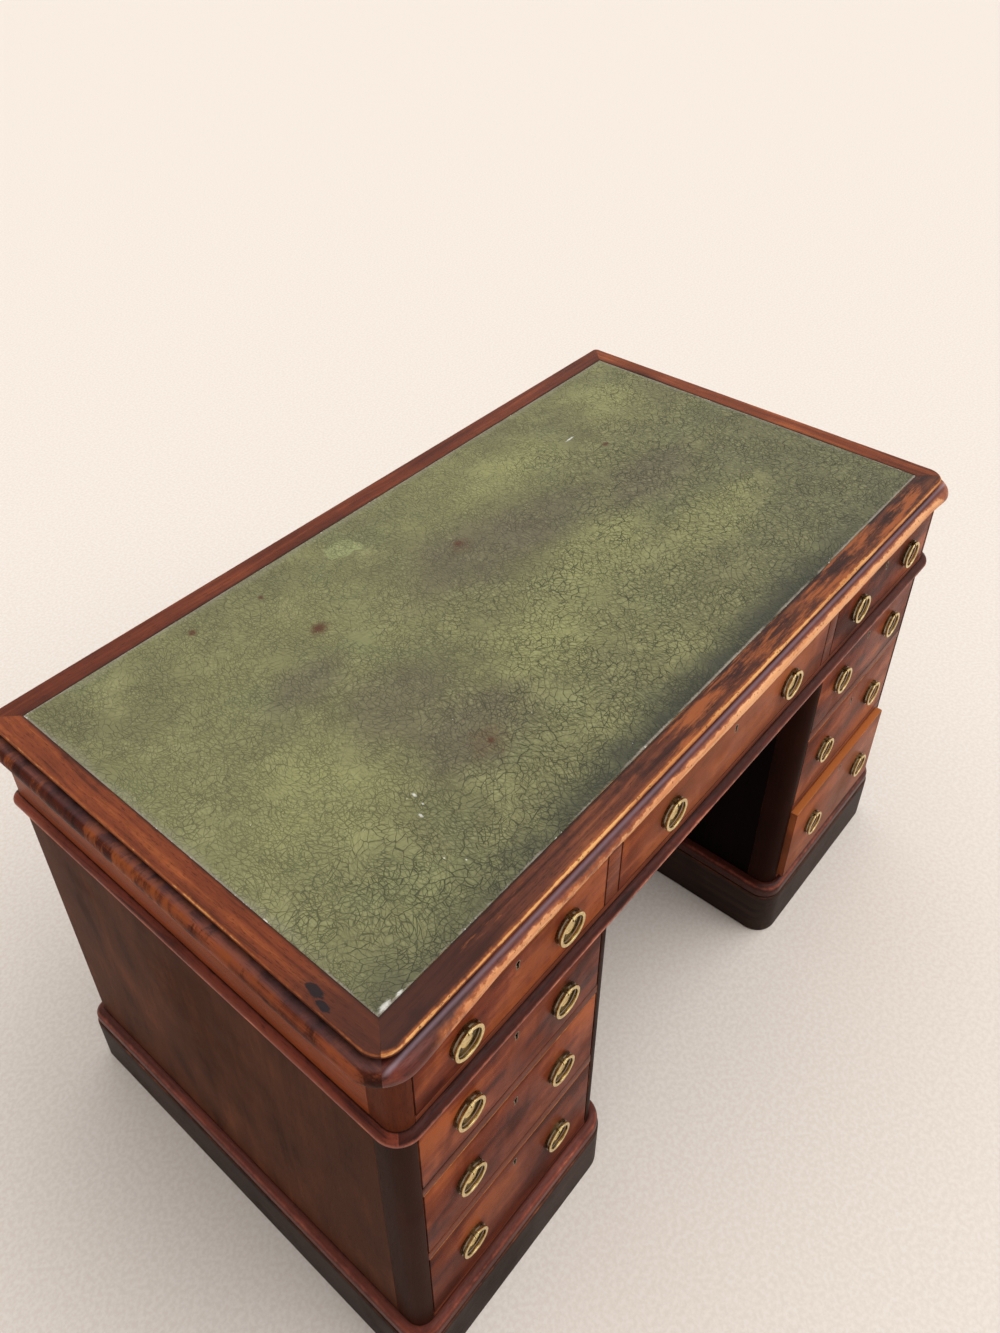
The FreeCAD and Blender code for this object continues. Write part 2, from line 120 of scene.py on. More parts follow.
def turned(tree, vector, angle, axis=(0.0, 0.0, 1.0)):
    feeds = {"Vector": vector, "Axis": axis, "Angle": angle}
    return put(tree, "ShaderNodeVectorRotate", feeds, rotation_type="AXIS_ANGLE").outputs[0]


def ease(tree, value, low, high, toLow=0.0, toHigh=1.0):
    feeds = {"Value": value, "From Min": low, "From Max": high, "To Min": toLow, "To Max": toHigh}
    return put(tree, "ShaderNodeMapRange", feeds, interpolation_type="SMOOTHSTEP").outputs[0]


def blend(tree, factor, under, over):
    feeds = {0: factor, 6: under, 7: over}
    return put(tree, "ShaderNodeMix", feeds, data_type="RGBA").outputs[2]


def stain(tree, color, mask, strength, tint):
    return blend(tree, times(tree, mask, strength), color, tint)


def noiseNode(tree, vector, scale, detail=3.0, stretch=None, roughness=0.55):
    if stretch:
        vector = vectorMaths(tree, "MULTIPLY", vector, stretch)
    feeds = {"Vector": vector, "Scale": scale, "Detail": detail, "Roughness": roughness}
    return put(tree, "ShaderNodeTexNoise", feeds)


# Cloud looks are rows of scale, detail, stretch and roughness
def cloud(tree, vector, *look):
    return noiseNode(tree, vector, *look).outputs[0]


def wander(tree, vector, *look):
    color = noiseNode(tree, vector, *look).outputs["Color"]
    return vectorMaths(tree, "SUBTRACT", color, (noiseMiddle, noiseMiddle, noiseMiddle))


def axisOf(tree, vector, axis):
    return put(tree, "ShaderNodeSeparateXYZ", {0: vector}).outputs["XYZ".index(axis)]


def attribute(tree, name):
    return put(tree, "ShaderNodeAttribute", attribute_name=name).outputs["Fac"]


# Node groups for the effects that several finishes share: a vector comes first, then inputs with defaults
def effectGroup(name, inputs, outputs):
    def addSocket(label, direction, kind):
        return tree.interface.new_socket(label, in_out=direction, socket_type="NodeSocket" + kind)

    tree = bpy.data.node_groups.new(name, "ShaderNodeTree")
    addSocket("Vector", "INPUT", "Vector")
    for label, value in inputs.items():
        kind = {1: "Float", 3: "Vector", 4: "Color"}[len(value) if isinstance(value, tuple) else 1]
        addSocket(label, "INPUT", kind).default_value = value
    for label in outputs:
        addSocket(label, "OUTPUT", "Color" if label == "Color" else "Float")
    return tree, tree.nodes.new("NodeGroupInput").outputs, tree.nodes.new("NodeGroupOutput").inputs


def feedGroup(tree, group, feeds):
    node = put(tree, "ShaderNodeGroup", None, node_tree=group)
    for key, value in feeds.items():
        feed(tree, node.inputs[key], value)
    return node.outputs


# Long streaks, broad figure and short dark pores, with the grain along the vector's X
figureShape = {
    "sway": (1.0, 2.0, (2.6, 7.0, 7.0)), "swayReach": (0.05, 0.03, 0.03),
    "streak": (1.0, 6.0, (2.2, 95.0, 95.0), 0.65), "streakGain": 1.7,
    "flame": (1.0, 3.0, (7.0, 19.0, 19.0), 0.5), "flameGain": 2.0,
    "ripple": (1.0, 2.0, (75.0, 16.0, 16.0), 0.5), "rippleGain": 0.35,
    "pores": (1.0, 2.0, (90.0, 1300.0, 1300.0)), "poreRange": (0.56, 0.68),
    "middleRange": (0.18, 0.5), "lightRange": (0.48, 0.86),
}


def makeWoodFigure():
    tree, given, out = effectGroup(
        "woodFigure",
        {"Streak": 1.0, "Figure": 0.5, "Pore": 0.5, "Dark": (0.05, 0.02, 0.01, 1.0),
         "Middle": (0.15, 0.05, 0.02, 1.0), "Light": (0.3, 0.1, 0.04, 1.0)},
        ["Color", "Tone", "Pores"])
    shape = figureShape
    sway = wander(tree, given["Vector"], *shape["sway"])
    sway = vectorMaths(tree, "MULTIPLY", sway, shape["swayReach"])
    bent = vectorMaths(tree, "ADD", given["Vector"], sway)
    streak = cloud(tree, bent, *shape["streak"])
    flame = cloud(tree, bent, *shape["flame"])
    ripple = cloud(tree, bent, *shape["ripple"])
    streakPart = times(tree, centred(tree, streak), times(tree, given["Streak"], shape["streakGain"]))
    flamePart = swing(tree, flame, given["Figure"])
    ripplePart = times(tree, centred(tree, ripple), times(tree, given["Figure"], shape["rippleGain"]))
    tone = plus(tree, plus(tree, streakPart, times(tree, flamePart, shape["flameGain"])), ripplePart)
    tone = plus(tree, tone, noiseMiddle)
    pores = ease(tree, cloud(tree, bent, *shape["pores"]), *shape["poreRange"])
    color = blend(tree, ease(tree, tone, *shape["middleRange"]), given["Dark"], given["Middle"])
    color = blend(tree, ease(tree, tone, *shape["lightRange"]), color, given["Light"])
    color = stain(tree, color, pores, given["Pore"], given["Dark"])
    feed(tree, out["Color"], color)
    feed(tree, out["Tone"], tone)
    feed(tree, out["Pores"], pores)
    return tree


# Ragged bare wood and a softer rubbed halo where the Edge value is high
wearShape = {
    "broad": (9.0, 2.0), "broadGain": 1.1, "ragged": (75.0, 5.0, None, 0.7), "raggedGain": 1.3,
    "touched": (0.02, 0.25), "bare": (1.2, 1.42), "rubbed": (0.7, 1.35),
}


def makeEdgeWear():
    tree, given, out = effectGroup("edgeWear", {"Edge": 0.0, "Amount": 0.5}, ["Bare", "Rubbed"])
    shape = wearShape
    broad = cloud(tree, given["Vector"], *shape["broad"])
    ragged = cloud(tree, given["Vector"], *shape["ragged"])
    drift = plus(tree, swing(tree, broad, shape["broadGain"]), swing(tree, ragged, shape["raggedGain"]))
    worn = plus(tree, plus(tree, given["Edge"], drift), given["Amount"])
    touched = ease(tree, given["Edge"], *shape["touched"])
    feed(tree, out["Bare"], times(tree, touched, ease(tree, worn, *shape["bare"])))
    feed(tree, out["Rubbed"], times(tree, touched, ease(tree, worn, *shape["rubbed"])))
    return tree


# Cloudy patches of handling and old dirt
grimeShape = {"patches": (5.0, None, 0.62)}


def makeGrimeCloud():
    tree, given, out = effectGroup("grimeCloud", {"Scale": 6.0, "Low": 0.45, "High": 0.7}, ["Mask"])
    patches = cloud(tree, given["Vector"], given["Scale"], *grimeShape["patches"])
    feed(tree, out["Mask"], ease(tree, patches, given["Low"], given["High"]))
    return tree


# One soft-edged spot
spotShape = {"edge": (1.7, 4.0, None, 0.6), "fade": (0.25, 1.0, 1.0, 0.0)}


def makeSoftSpot():
    tree, given, out = effectGroup(
        "softSpot", {"Middle": (0.0, 0.0, 0.0), "Reach": (0.1, 0.1, 0.1), "Ragged": 0.4}, ["Mask"])
    apart = vectorMaths(tree, "SUBTRACT", given["Vector"], given["Middle"])
    apart = vectorMaths(tree, "DIVIDE", apart, given["Reach"])
    length = put(tree, "ShaderNodeVectorMath", {0: apart}, operation="LENGTH").outputs["Value"]
    edge = swing(tree, cloud(tree, apart, *spotShape["edge"]), given["Ragged"])
    feed(tree, out["Mask"], ease(tree, plus(tree, length, edge), *spotShape["fade"]))
    return tree


# Thin broken scratches in two directions
scratchShape = {
    "turns": (0.5, -0.9), "lines": (1.0, 1.0, (14.0, 900.0, 300.0)), "lineRange": (0.70, 0.74),
    "patch": (13.0, 2.0), "patchRange": (0.95, 1.15),
}


def makeScratches():
    tree, given, out = effectGroup("fineScratches", {"Density": 0.5}, ["Mask"])
    shape = scratchShape
    total = None
    for turn in shape["turns"]:
        vector = turned(tree, given["Vector"], turn)
        lines = cloud(tree, vector, *shape["lines"])
        patch = cloud(tree, vector, *shape["patch"])
        mask = times(tree, ease(tree, lines, *shape["lineRange"]),
                     ease(tree, plus(tree, patch, given["Density"]), *shape["patchRange"]))
        total = mask if total is None else larger(tree, total, mask)
    feed(tree, out["Mask"], total)
    return tree


# Net of cracks that come and go: dark crease lines and rounded cells between them
netShape = {
    "broadBend": 11.0, "broadReach": 0.06, "fineBend": 85.0, "bendDetail": 2.0, "squash": (0.4, 1.0, 1.0),
    "swell": (48.0, 2.0), "swellRange": (0.34, 0.6, 0.25, 1.0), "coreShare": 0.3,
    "patch": (17.0, 3.0), "patchRange": (-0.08, 0.06), "domeRange": (0.0, 0.4),
}


def makeWrinkleNet():
    tree, given, out = effectGroup(
        "wrinkleNet",
        {"Cells": 80.0, "Line": 0.1, "Warp": 0.005, "Break": 0.5, "Turn": 0.0},
        ["Crease", "Dome"])
    shape = netShape
    bent = given["Vector"]
    for scale, reach in ((shape["broadBend"], shape["broadReach"]), (shape["fineBend"], given["Warp"])):
        shift = wander(tree, given["Vector"], scale, shape["bendDetail"])
        shift = put(tree, "ShaderNodeVectorMath", {0: shift, "Scale": reach}, operation="SCALE").outputs[0]
        bent = vectorMaths(tree, "ADD", bent, shift)
    bent = vectorMaths(tree, "MULTIPLY", turned(tree, bent, given["Turn"]), shape["squash"])
    cells = put(tree, "ShaderNodeTexVoronoi", {"Vector": bent, "Scale": given["Cells"]},
                voronoi_dimensions="2D", feature="DISTANCE_TO_EDGE").outputs["Distance"]
    swell = ease(tree, cloud(tree, given["Vector"], *shape["swell"]), *shape["swellRange"])
    wide = times(tree, given["Line"], swell)
    crease = ease(tree, cells, times(tree, wide, shape["coreShare"]), wide, 1.0, 0.0)
    patch = minus(tree, cloud(tree, given["Vector"], *shape["patch"]), given["Break"])
    feed(tree, out["Crease"], times(tree, crease, ease(tree, patch, *shape["patchRange"])))
    feed(tree, out["Dome"], ease(tree, cells, *shape["domeRange"]))
    return tree


# Short parallel wrinkles about the turned X axis, between -1 and 1
wrinkleShape = {
    "sway": (24.0, 2.0), "swayReach": (0.0, 0.03, 0.0), "lines": (1.0, 2.0, (62.0, 290.0, 1.0), 0.5),
    "gain": 4.0, "patch": (14.0, 2.0), "patchRange": (0.42, 0.6),
}


def makeFineWrinkles():
    tree, given, out = effectGroup("fineWrinkles", {"Turn": 0.0}, ["Height"])
    shape = wrinkleShape
    vector = turned(tree, given["Vector"], given["Turn"])
    sway = vectorMaths(tree, "MULTIPLY", wander(tree, vector, *shape["sway"]), shape["swayReach"])
    lines = cloud(tree, vectorMaths(tree, "ADD", vector, sway), *shape["lines"])
    patch = ease(tree, cloud(tree, given["Vector"], *shape["patch"]), *shape["patchRange"])
    feed(tree, out["Height"], times(tree, swing(tree, lines, shape["gain"]), patch))
    return tree


woodFigure = makeWoodFigure()
edgeWear = makeEdgeWear()
grimeCloud = makeGrimeCloud()
softSpot = makeSoftSpot()
fineScratches = makeScratches()
wrinkleNet = makeWrinkleNet()
fineWrinkles = makeFineWrinkles()
print("shared effects made")


# Materials
def newMaterial(name):
    material = bpy.data.materials.new(name)
    material.use_nodes = True
    tree = material.node_tree
    tree.nodes.clear()
    shader = tree.nodes.new("ShaderNodeBsdfPrincipled")
    tree.links.new(shader.outputs[0], tree.nodes.new("ShaderNodeOutputMaterial").inputs[0])
    return material, tree, shader


def objectCoords(tree):
    return put(tree, "ShaderNodeTexCoord").outputs["Object"]


def alongGrain(tree, coords, axis):
    order = {"X": "XYZ", "Y": "YXZ", "Z": "ZXY"}[axis]
    parts = put(tree, "ShaderNodeSeparateXYZ", {0: coords}).outputs
    feeds = {place: parts["XYZ".index(name)] for place, name in enumerate(order)}
    return put(tree, "ShaderNodeCombineXYZ", feeds).outputs[0]


def bump(tree, height, distance):
    return put(tree, "ShaderNodeBump", {"Height": height, "Distance": distance, "Strength": 1.0}).outputs[0]


def spotMask(tree, vector, middle, reach, ragged):
    feeds = {"Vector": vector, "Middle": middle, "Reach": reach, "Ragged": ragged}
    return feedGroup(tree, softSpot, feeds)["Mask"]


# How every wood finish is laid over its figure
polish = {
    "grime": (0.42, 0.78), "settled": (60.0, 4.0, None, 0.65), "settledGain": 0.7,
    "grimeShade": (0.3, 0.85, 0.0, 0.94), "scratchMix": 0.35, "rubbedMix": 0.75, "bareTone": (0.3, 0.7),
    "fleck": (260.0, 3.0), "fleckRange": (0.6, 0.7), "fleckMix": 0.7, "bareRough": 0.25,
    "toneHeight": 0.3, "poreDepth": 0.6, "bareDepth": 0.8,
}


# Old polished wood; layers adds a piece's own marks, over the figure and under the bare edges
def woodFinish(name, look, layers=None):
    material, tree, shader = newMaterial(name)
    source = put(tree, "ShaderNodeTexCoord")
    coords = source.outputs["Object"]
    shift = attribute(tree, "pieceShift")
    shift = put(tree, "ShaderNodeCombineXYZ", {0: shift, 1: shift, 2: shift}).outputs[0]
    ownCoords = vectorMaths(tree, "ADD", coords, shift)
    figure = feedGroup(tree, woodFigure, {
        "Vector": alongGrain(tree, ownCoords, look["grain"]),
        "Streak": look["streak"], "Figure": look["figure"], "Pore": look["pore"],
        "Dark": look["dark"], "Middle": look["middle"], "Light": look["light"]})
    low, high = polish["grime"]
    grime = feedGroup(tree, grimeCloud, {
        "Vector": ownCoords, "Scale": look["grimeScale"], "Low": low, "High": high})["Mask"]
    color = stain(tree, figure["Color"], grime, look["grime"], look["dirt"])
    edge = attribute(tree, "wear")
    if layers:
        color, edge = layers(tree, coords, color, edge, source.outputs["Normal"])
    # grime and painted shade: near black in grooves, joints and gaps where the mesh marks them, varied by a
    # cloud
    grimeShade = attribute(tree, "grimeShade")
    settled = cloud(tree, coords, *polish["settled"])
    grimeShade = plus(tree, grimeShade, swing(tree, settled, polish["settledGain"]))
    color = blend(tree, ease(tree, grimeShade, *polish["grimeShade"]), color, look["grimeShade"])
    wear = feedGroup(tree, edgeWear, {"Vector": ownCoords, "Edge": edge, "Amount": look["wear"]})
    scratch = feedGroup(tree, fineScratches, {"Vector": ownCoords, "Density": look["scratch"]})["Mask"]
    color = stain(tree, color, scratch, polish["scratchMix"], look["rubbed"])
    color = stain(tree, color, wear["Rubbed"], polish["rubbedMix"], look["rubbed"])
    bareTone = blend(tree, ease(tree, figure["Tone"], *polish["bareTone"]), look["bareDark"], look["bare"])
    fleck = ease(tree, cloud(tree, ownCoords, *polish["fleck"]), *polish["fleckRange"])
    bareTone = stain(tree, bareTone, fleck, polish["fleckMix"], look["dark"])
    color = blend(tree, wear["Bare"], color, bareTone)
    feed(tree, shader.inputs["Base Color"], color)
    rough = ease(tree, grime, 0.0, 1.0, *look["rough"])
    rough = plus(tree, rough, times(tree, wear["Bare"], polish["bareRough"]))
    feed(tree, shader.inputs["Roughness"], rough)
    shader.inputs["Specular IOR Level"].default_value = look["gloss"]
    shader.inputs["Coat Weight"].default_value = look["coat"]
    shader.inputs["Coat Roughness"].default_value = look["coatRough"]
    height = minus(tree, times(tree, figure["Tone"], polish["toneHeight"]),
                   times(tree, figure["Pores"], polish["poreDepth"]))
    height = minus(tree, height, times(tree, wear["Bare"], polish["bareDepth"]))
    feed(tree, shader.inputs["Normal"], bump(tree, height, look["relief"]))
    return material


# the near-black colour of a finish is for grime and painted shade in crevices
mahogany = {
    "grain": "X", "streak": 0.8, "figure": 0.55, "pore": 0.6, "grimeScale": 7.0, "grime": 0.4, "wear": 0.25,
    "scratch": 0.25, "rough": (0.36, 0.52), "gloss": 0.2, "coat": 0.03, "coatRough": 0.2, "relief": 0.0002,
    "dark": seen(66, 28, 17), "middle": seen(114, 54, 31), "light": seen(156, 84, 46),
    "dirt": seen(52, 26, 18), "grimeShade": seen(18, 10, 8), "rubbed": seen(172, 96, 52),
    "bare": seen(226, 168, 104), "bareDark": seen(190, 122, 68),
}


# A finish like another, with changes; three levels are a colour on screen
def finishFrom(base, **changes):
    for key, value in changes.items():
        if isinstance(value, tuple) and len(value) == 3:
            changes[key] = seen(*value)
    return {**base, **changes}


# Mesh helpers
grainStep = 0.37  # how far apart in the timber two pieces are cut
boardEdge = {"segments": 2, "profile": 0.5, "offFace": 0.01, "onArris": 0.9}  # the last two in easings
# a post's foot and head darken with grime and painted shade over a band, to the level given last
postCurve = {"steps": 14, "easedSteps": 2, "easedUnder": 3 * mm, "dirtBand": 12 * mm, "dirt": 0.55}
mitre = {"angle": 45, "steps": 9}
ruggedShares = {"coarse": 0.6, "fine": 0.4}
pieceShifts = {}


def link(name, content):
    piece = bpy.data.objects.new(name, content)
    bpy.context.scene.collection.objects.link(piece)
    return piece


# Each piece is cut from its own place in the timber
def shiftGrain(name, mesh):
    pieceShifts.setdefault(name, grainStep * (len(pieceShifts) + 1))
    shift = mesh.attributes.get("pieceShift") or mesh.attributes.new("pieceShift", "FLOAT", "POINT")
    shift.data.foreach_set("value", [pieceShifts[name]] * len(mesh.vertices))


def toMesh(name, solid):
    bmesh.ops.recalc_face_normals(solid, faces=solid.faces)
    mesh = bpy.data.meshes.new(name)
    solid.to_mesh(mesh)
    solid.free()
    return mesh


def settle(name, solid, material, body, stands, smoothAngle=38):
    mesh = toMesh(name, solid)
    mesh.shade_smooth()
    mesh.set_sharp_from_angle(angle=math.radians(smoothAngle))
    mesh.materials.append(material)
    shiftGrain(name, mesh)
    piece = link(name, mesh)
    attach(piece, body)
    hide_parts(*stands)
    return piece


def newSolid():
    solid = bmesh.new()
    solid.verts.layers.float.new("wear")
    solid.verts.layers.float.new("grimeShade")
    return solid


# Closed skin over rows of points that run the same way round
def skin(solid, rows):
    count = len(rows[0])
    for near, far in zip(rows, rows[1:]):
        for i in range(count):
            j = (i + 1) % count
            solid.faces.new((near[i], near[j], far[j], far[i]))


# A board between two corners, with eased edges that can wear or darken with grime and painted shade
def addBoard(solid, low, high, easing, edgeMark="wear", endGrimeShade=0.0):
    low, high = Vector(low), Vector(high)
    middle, span = (low + high) / 2, high - low
    place = Matrix.Translation(middle) @ Matrix.Diagonal((*span, 1.0))
    made = bmesh.ops.create_cube(solid, size=1.0, matrix=place)
    edges = list({edge for vert in made["verts"] for edge in vert.link_edges})
    rounded = bmesh.ops.bevel(solid, geom=edges, offset=easing, segments=boardEdge["segments"],
                              profile=boardEdge["profile"], affect="EDGES")
    markLayer, grimeShadeLayer = solid.verts.layers.float[edgeMark], solid.verts.layers.float["grimeShade"]
    offFace, onArris = boardEdge["offFace"] * easing, boardEdge["onArris"] * easing
    for vert in rounded["verts"]:
        inside = [min(abs(vert.co[i] - low[i]), abs(vert.co[i] - high[i])) for i in range(3)]
        marked = min(inside) > offFace and (inside[2] < onArris or edgeMark == "grimeShade")
        vert[markLayer] = 1.0 if marked else 0.0
        # grime and painted shade on the upright edges, as beside the gaps round a drawer front
        if endGrimeShade and min(inside[:2]) > offFace and max(inside[:2]) < onArris:
            vert[grimeShadeLayer] = endGrimeShade


# Upright prism on an outline of (x, y, wear) points, with grime and painted shade gathered at its foot and
# head
def addPrism(solid, outline, low, high):
    wearLayer, grimeShadeLayer = solid.verts.layers.float["wear"], solid.verts.layers.float["grimeShade"]
    band, grimeShade = postCurve["dirtBand"], postCurve["dirt"]
    rows = []
    for level, dirty in ((low, grimeShade), (low + band, 0.0), (high - band, 0.0), (high, grimeShade)):
        row = [solid.verts.new((x, y, level)) for x, y, worn in outline]
        for vert, (x, y, worn) in zip(row, outline):
            vert[wearLayer], vert[grimeShadeLayer] = worn, dirty
        rows.append(row)
    skin(solid, rows)
    solid.faces.new(rows[0][::-1])
    solid.faces.new(rows[-1])


# Rectangle with a radius at each corner, counter-clockwise from the lowest x and y
def roundedOutline(low, high, radii):
    corners = ((low[0], low[1], 180), (high[0], low[1], 270), (high[0], high[1], 0), (low[0], high[1], 90))
    outline = []
    for (x, y, start), radius in zip(corners, radii):
        middleX = x + radius if x == low[0] else x - radius
        middleY = y + radius if y == low[1] else y - radius
        eased = radius <= postCurve["easedUnder"]
        steps = postCurve["easedSteps"] if eased else postCurve["steps"]
        for step in range(steps + 1):
            angle = math.radians(start + 90 * step / steps)
            worn = 1.0 if eased and step == 1 else 0.0
            outline.append((middleX + radius * math.cos(angle), middleY + radius * math.sin(angle), worn))
    return outline


def arc(middle, radius, start, end, steps):
    for step in range(steps + 1):
        angle = math.radians(start + (end - start) * step / steps)
        yield middle[0] + radius * math.cos(angle), middle[1] + radius * math.sin(angle)


def between(first, last, share):
    return first[0] + (last[0] - first[0]) * share, first[1] + (last[1] - first[1]) * share


def outlineOf(low, high, sizes, out=0.0):
    radii = {name: sizes[name] + out for name in ("frontRadius", "backRadius")}
    return {"low": low, "high": high, **radii}


# Stations of the four mitred lengths round an outline: point, outward normal and share of the length
def mitredLengths(outline, step):
    low, high = outline["low"], outline["high"]
    front, back = outline["frontRadius"], outline["backRadius"]
    corners = [((low[0] + front, low[1] + front), front), ((high[0] - front, low[1] + front), front),
               ((high[0] - back, high[1] - back), back), ((low[0] + back, high[1] - back), back)]
    turnStep = mitre["angle"] / mitre["steps"]
    for side, name in enumerate(("front", "right", "back", "left")):
        facing = 270 + 90 * side
        (first, firstRadius), (last, lastRadius) = corners[side], corners[(side + 1) % 4]
        points = []
        for i in range(mitre["steps"] + 1):
            points.append((first, firstRadius, facing - mitre["angle"] + turnStep * i))
        count = max(1, round(math.dist(first, last) / step))
        for i in range(1, count):
            share = i / count
            radius = firstRadius + (lastRadius - firstRadius) * share
            points.append((between(first, last, share), radius, facing))
        for i in range(mitre["steps"] + 1):
            points.append((last, lastRadius, facing + turnStep * i))
        along = side % 2
        stations = []
        for middle, radius, turn in points:
            normal = Vector((math.cos(math.radians(turn)), math.sin(math.radians(turn)), 0.0))
            point = Vector((middle[0], middle[1], 0.0)) + normal * radius
            # radii differ only on the end lengths, whose faces stay in one plane
            if turn == facing:
                point[1 - along] = (low[1], high[0], high[1], low[0])[side]
            stations.append((point, normal))
        start, end = stations[0][0][along], stations[-1][0][along]
        shares = [(point[along] - start) / (end - start) for point, normal in stations]
        yield name, [(*station, share) for station, share in zip(stations, shares)], side


# Profile points are (share, offset, z, wear, grime and painted shade): share 0 lies on the inner rectangle,
# share 1 at that offset from the outline
def onEdge(offset, level, wear=0.0, grimeShade=0.0):
    return 1.0, offset, level, wear, grimeShade


def onCore(level, grimeShade=0.0, share=0.0):
    return share, 0.0, level, 0.0, grimeShade


# Sweeps a profile along the four lengths
def sweepFrame(prefix, outline, inset, profile, step, materials, stands, dent, dirt=None):
    low, high = outline["low"], outline["high"]
    ends, (front, back) = inset
    inner = [(low[0] + ends, low[1] + front), (high[0] - ends, low[1] + front),
             (high[0] - ends, high[1] - back), (low[0] + ends, high[1] - back)]
    for name, stations, side in mitredLengths(outline, step):
        first, last = inner[side], inner[(side + 1) % 4]
        solid = newSolid()
        wearLayer, grimeShadeLayer = solid.verts.layers.float["wear"], solid.verts.layers.float["grimeShade"]
        rows = []
        for point, normal, share in stations:
            core = Vector((*between(first, last, share), 0.0))
            row = []
            for part, offset, level, worn, dirty in profile:
                spot = core.lerp(point + normal * offset, part)
                spot.z = level
                shift = dent(spot, worn, name) if part > 0 else 0.0
                spot -= normal * shift
                vert = solid.verts.new(spot)
                # where a scale is given, each length's grime and painted shade is scaled for its side
                vert[wearLayer], vert[grimeShadeLayer] = worn, dirty * (dirt or {}).get(name, 1.0)
                row.append(vert)
            rows.append(row)
        skin(solid, rows)
        solid.faces.new(rows[0])
        solid.faces.new(rows[-1][::-1])
        settle(f"{prefix}_{name}", solid, materials[name], "carcass", [stands])


def evenInset(width):
    return width, (width, width)


def longAndEnds(longWood, endWood):
    return {"front": longWood, "back": longWood, "left": endWood, "right": endWood}


def rugged(spot, fine, coarse):
    broad, small = noise.noise(spot * coarse), noise.noise(spot * fine)
    return ruggedShares["coarse"] * broad + ruggedShares["fine"] * small


# Chips and dents in the worn places of a moulding
def denting(sizes):
    def dent(spot, worn, side):
        depth = sizes["dentDepth"]
        depth = depth[side] if isinstance(depth, dict) else depth
        return depth * worn * max(0.0, rugged(spot, *sizes["dentGrain"]))
    return dent


# Leather writing surface. Stains are rows of tint, spots, strength, raggedness and whether the rim is
# crisp; spots are rows of middle x, middle y, reach x and reach y
leather = {
    "cellStep": 4 * mm, "cockle": 0.25 * mm, "cockleGrain": (40.0, 9.0), "edgeGap": 0.35 * mm,
    "edgeDrop": 0.35 * mm, "frontBite": 2.2 * mm, "biteRows": 3, "biteGrain": (160.0, 22.0),
    "biteBias": 0.05, "smoothAngle": 60,
    "olive": seen(127, 126, 84), "paleOlive": seen(144, 142, 99), "deepOlive": seen(113, 111, 76),
    "greyBrown": seen(99, 90, 74), "yellowGreen": seen(147, 147, 96), "crease": seen(40, 41, 27),
    "coolGreen": seen(116, 124, 86), "rightShade": seen(104, 103, 74), "fold": seen(80, 80, 54),
    "haze": seen(142, 138, 120), "ridge": seen(162, 162, 118), "frontDark": seen(50, 52, 44),
    "frayed": seen(146, 138, 124), "chip": seen(224, 221, 212), "rust": seen(84, 52, 33),
    "ovalTint": seen(150, 156, 106),
    "yellowSpots": [(-0.43, -0.06, 0.16, 0.12), (-0.08, -0.09, 0.13, 0.08), (0.13, -0.04, 0.16, 0.09),
                    (0.3, -0.12, 0.2, 0.07), (0.2, 0.2, 0.18, 0.06), (0.47, 0.2, 0.1, 0.1)],
    "brownSpots": [(0.0, 0.1, 0.2, 0.1), (0.13, 0.07, 0.16, 0.07), (-0.28, -0.03, 0.13, 0.1),
                   (-0.25, -0.13, 0.14, 0.07), (0.33, 0.02, 0.16, 0.07), (-0.33, 0.08, 0.1, 0.05)],
    "rustSpots": [(-0.25, 0.144, 0.015, 0.012), (-0.256, -0.155, 0.007, 0.006),
                  (0.005, 0.127, 0.01, 0.009), (0.358, 0.122, 0.01, 0.007),
                  (-0.362, 0.264, 0.009, 0.009), (-0.257, 0.251, 0.006, 0.006)],
    "rustHalos": [(-0.259, -0.153, 0.042, 0.034), (-0.249, 0.143, 0.025, 0.02),
                  (0.004, 0.121, 0.03, 0.022)],
    "ovalSpots": [(-0.113, 0.247, 0.036, 0.024), (-0.092, 0.234, 0.012, 0.012)],
    "scuffs": [(0.334, 0.176, 0.014, 0.0022), (-0.3735, -0.1433, 0.0026, 0.0046),
               (-0.3766, -0.1591, 0.0016, 0.0024), (-0.3898, -0.1686, 0.0024, 0.0044),
               (-0.4152, -0.2256, 0.0013, 0.0016), (-0.4019, -0.2446, 0.0013, 0.0016),
               (-0.5745, -0.2955, 0.011, 0.004), (-0.556, -0.2965, 0.006, 0.0024)],
    "underStains": [("yellowGreen", "yellowSpots", 0.7, 0.9, False),
                    ("greyBrown", "brownSpots", 0.6, 0.9, False),
                    ("ovalTint", "ovalSpots", 0.7, 0.5, True)],
    "rustStains": [("rust", "rustHalos", 0.35, 0.9, False), ("rust", "rustSpots", 0.9, 0.7, False)],
    "scuffStains": [("chip", "scuffs", 0.85, 1.3, False)],
    "wrinkleTurns": [(0.35, 0.0), (1.3, 3.1), (2.25, 6.2)],
    # cells per metre, line share, place, patchiness, turn, strength where faint and where bold
    "crackNets": [(115.0, 0.06, 0.0, 0.46, -0.72, 0.42, 0.85), (140.0, 0.07, 4.3, 0.45, 0.6, 0.5, 0.85),
                  (180.0, 0.085, 8.7, 0.45, -1.5, 0.55, 0.7), (215.0, 0.1, 12.9, 0.46, 1.4, 0.45, 0.45)],
}
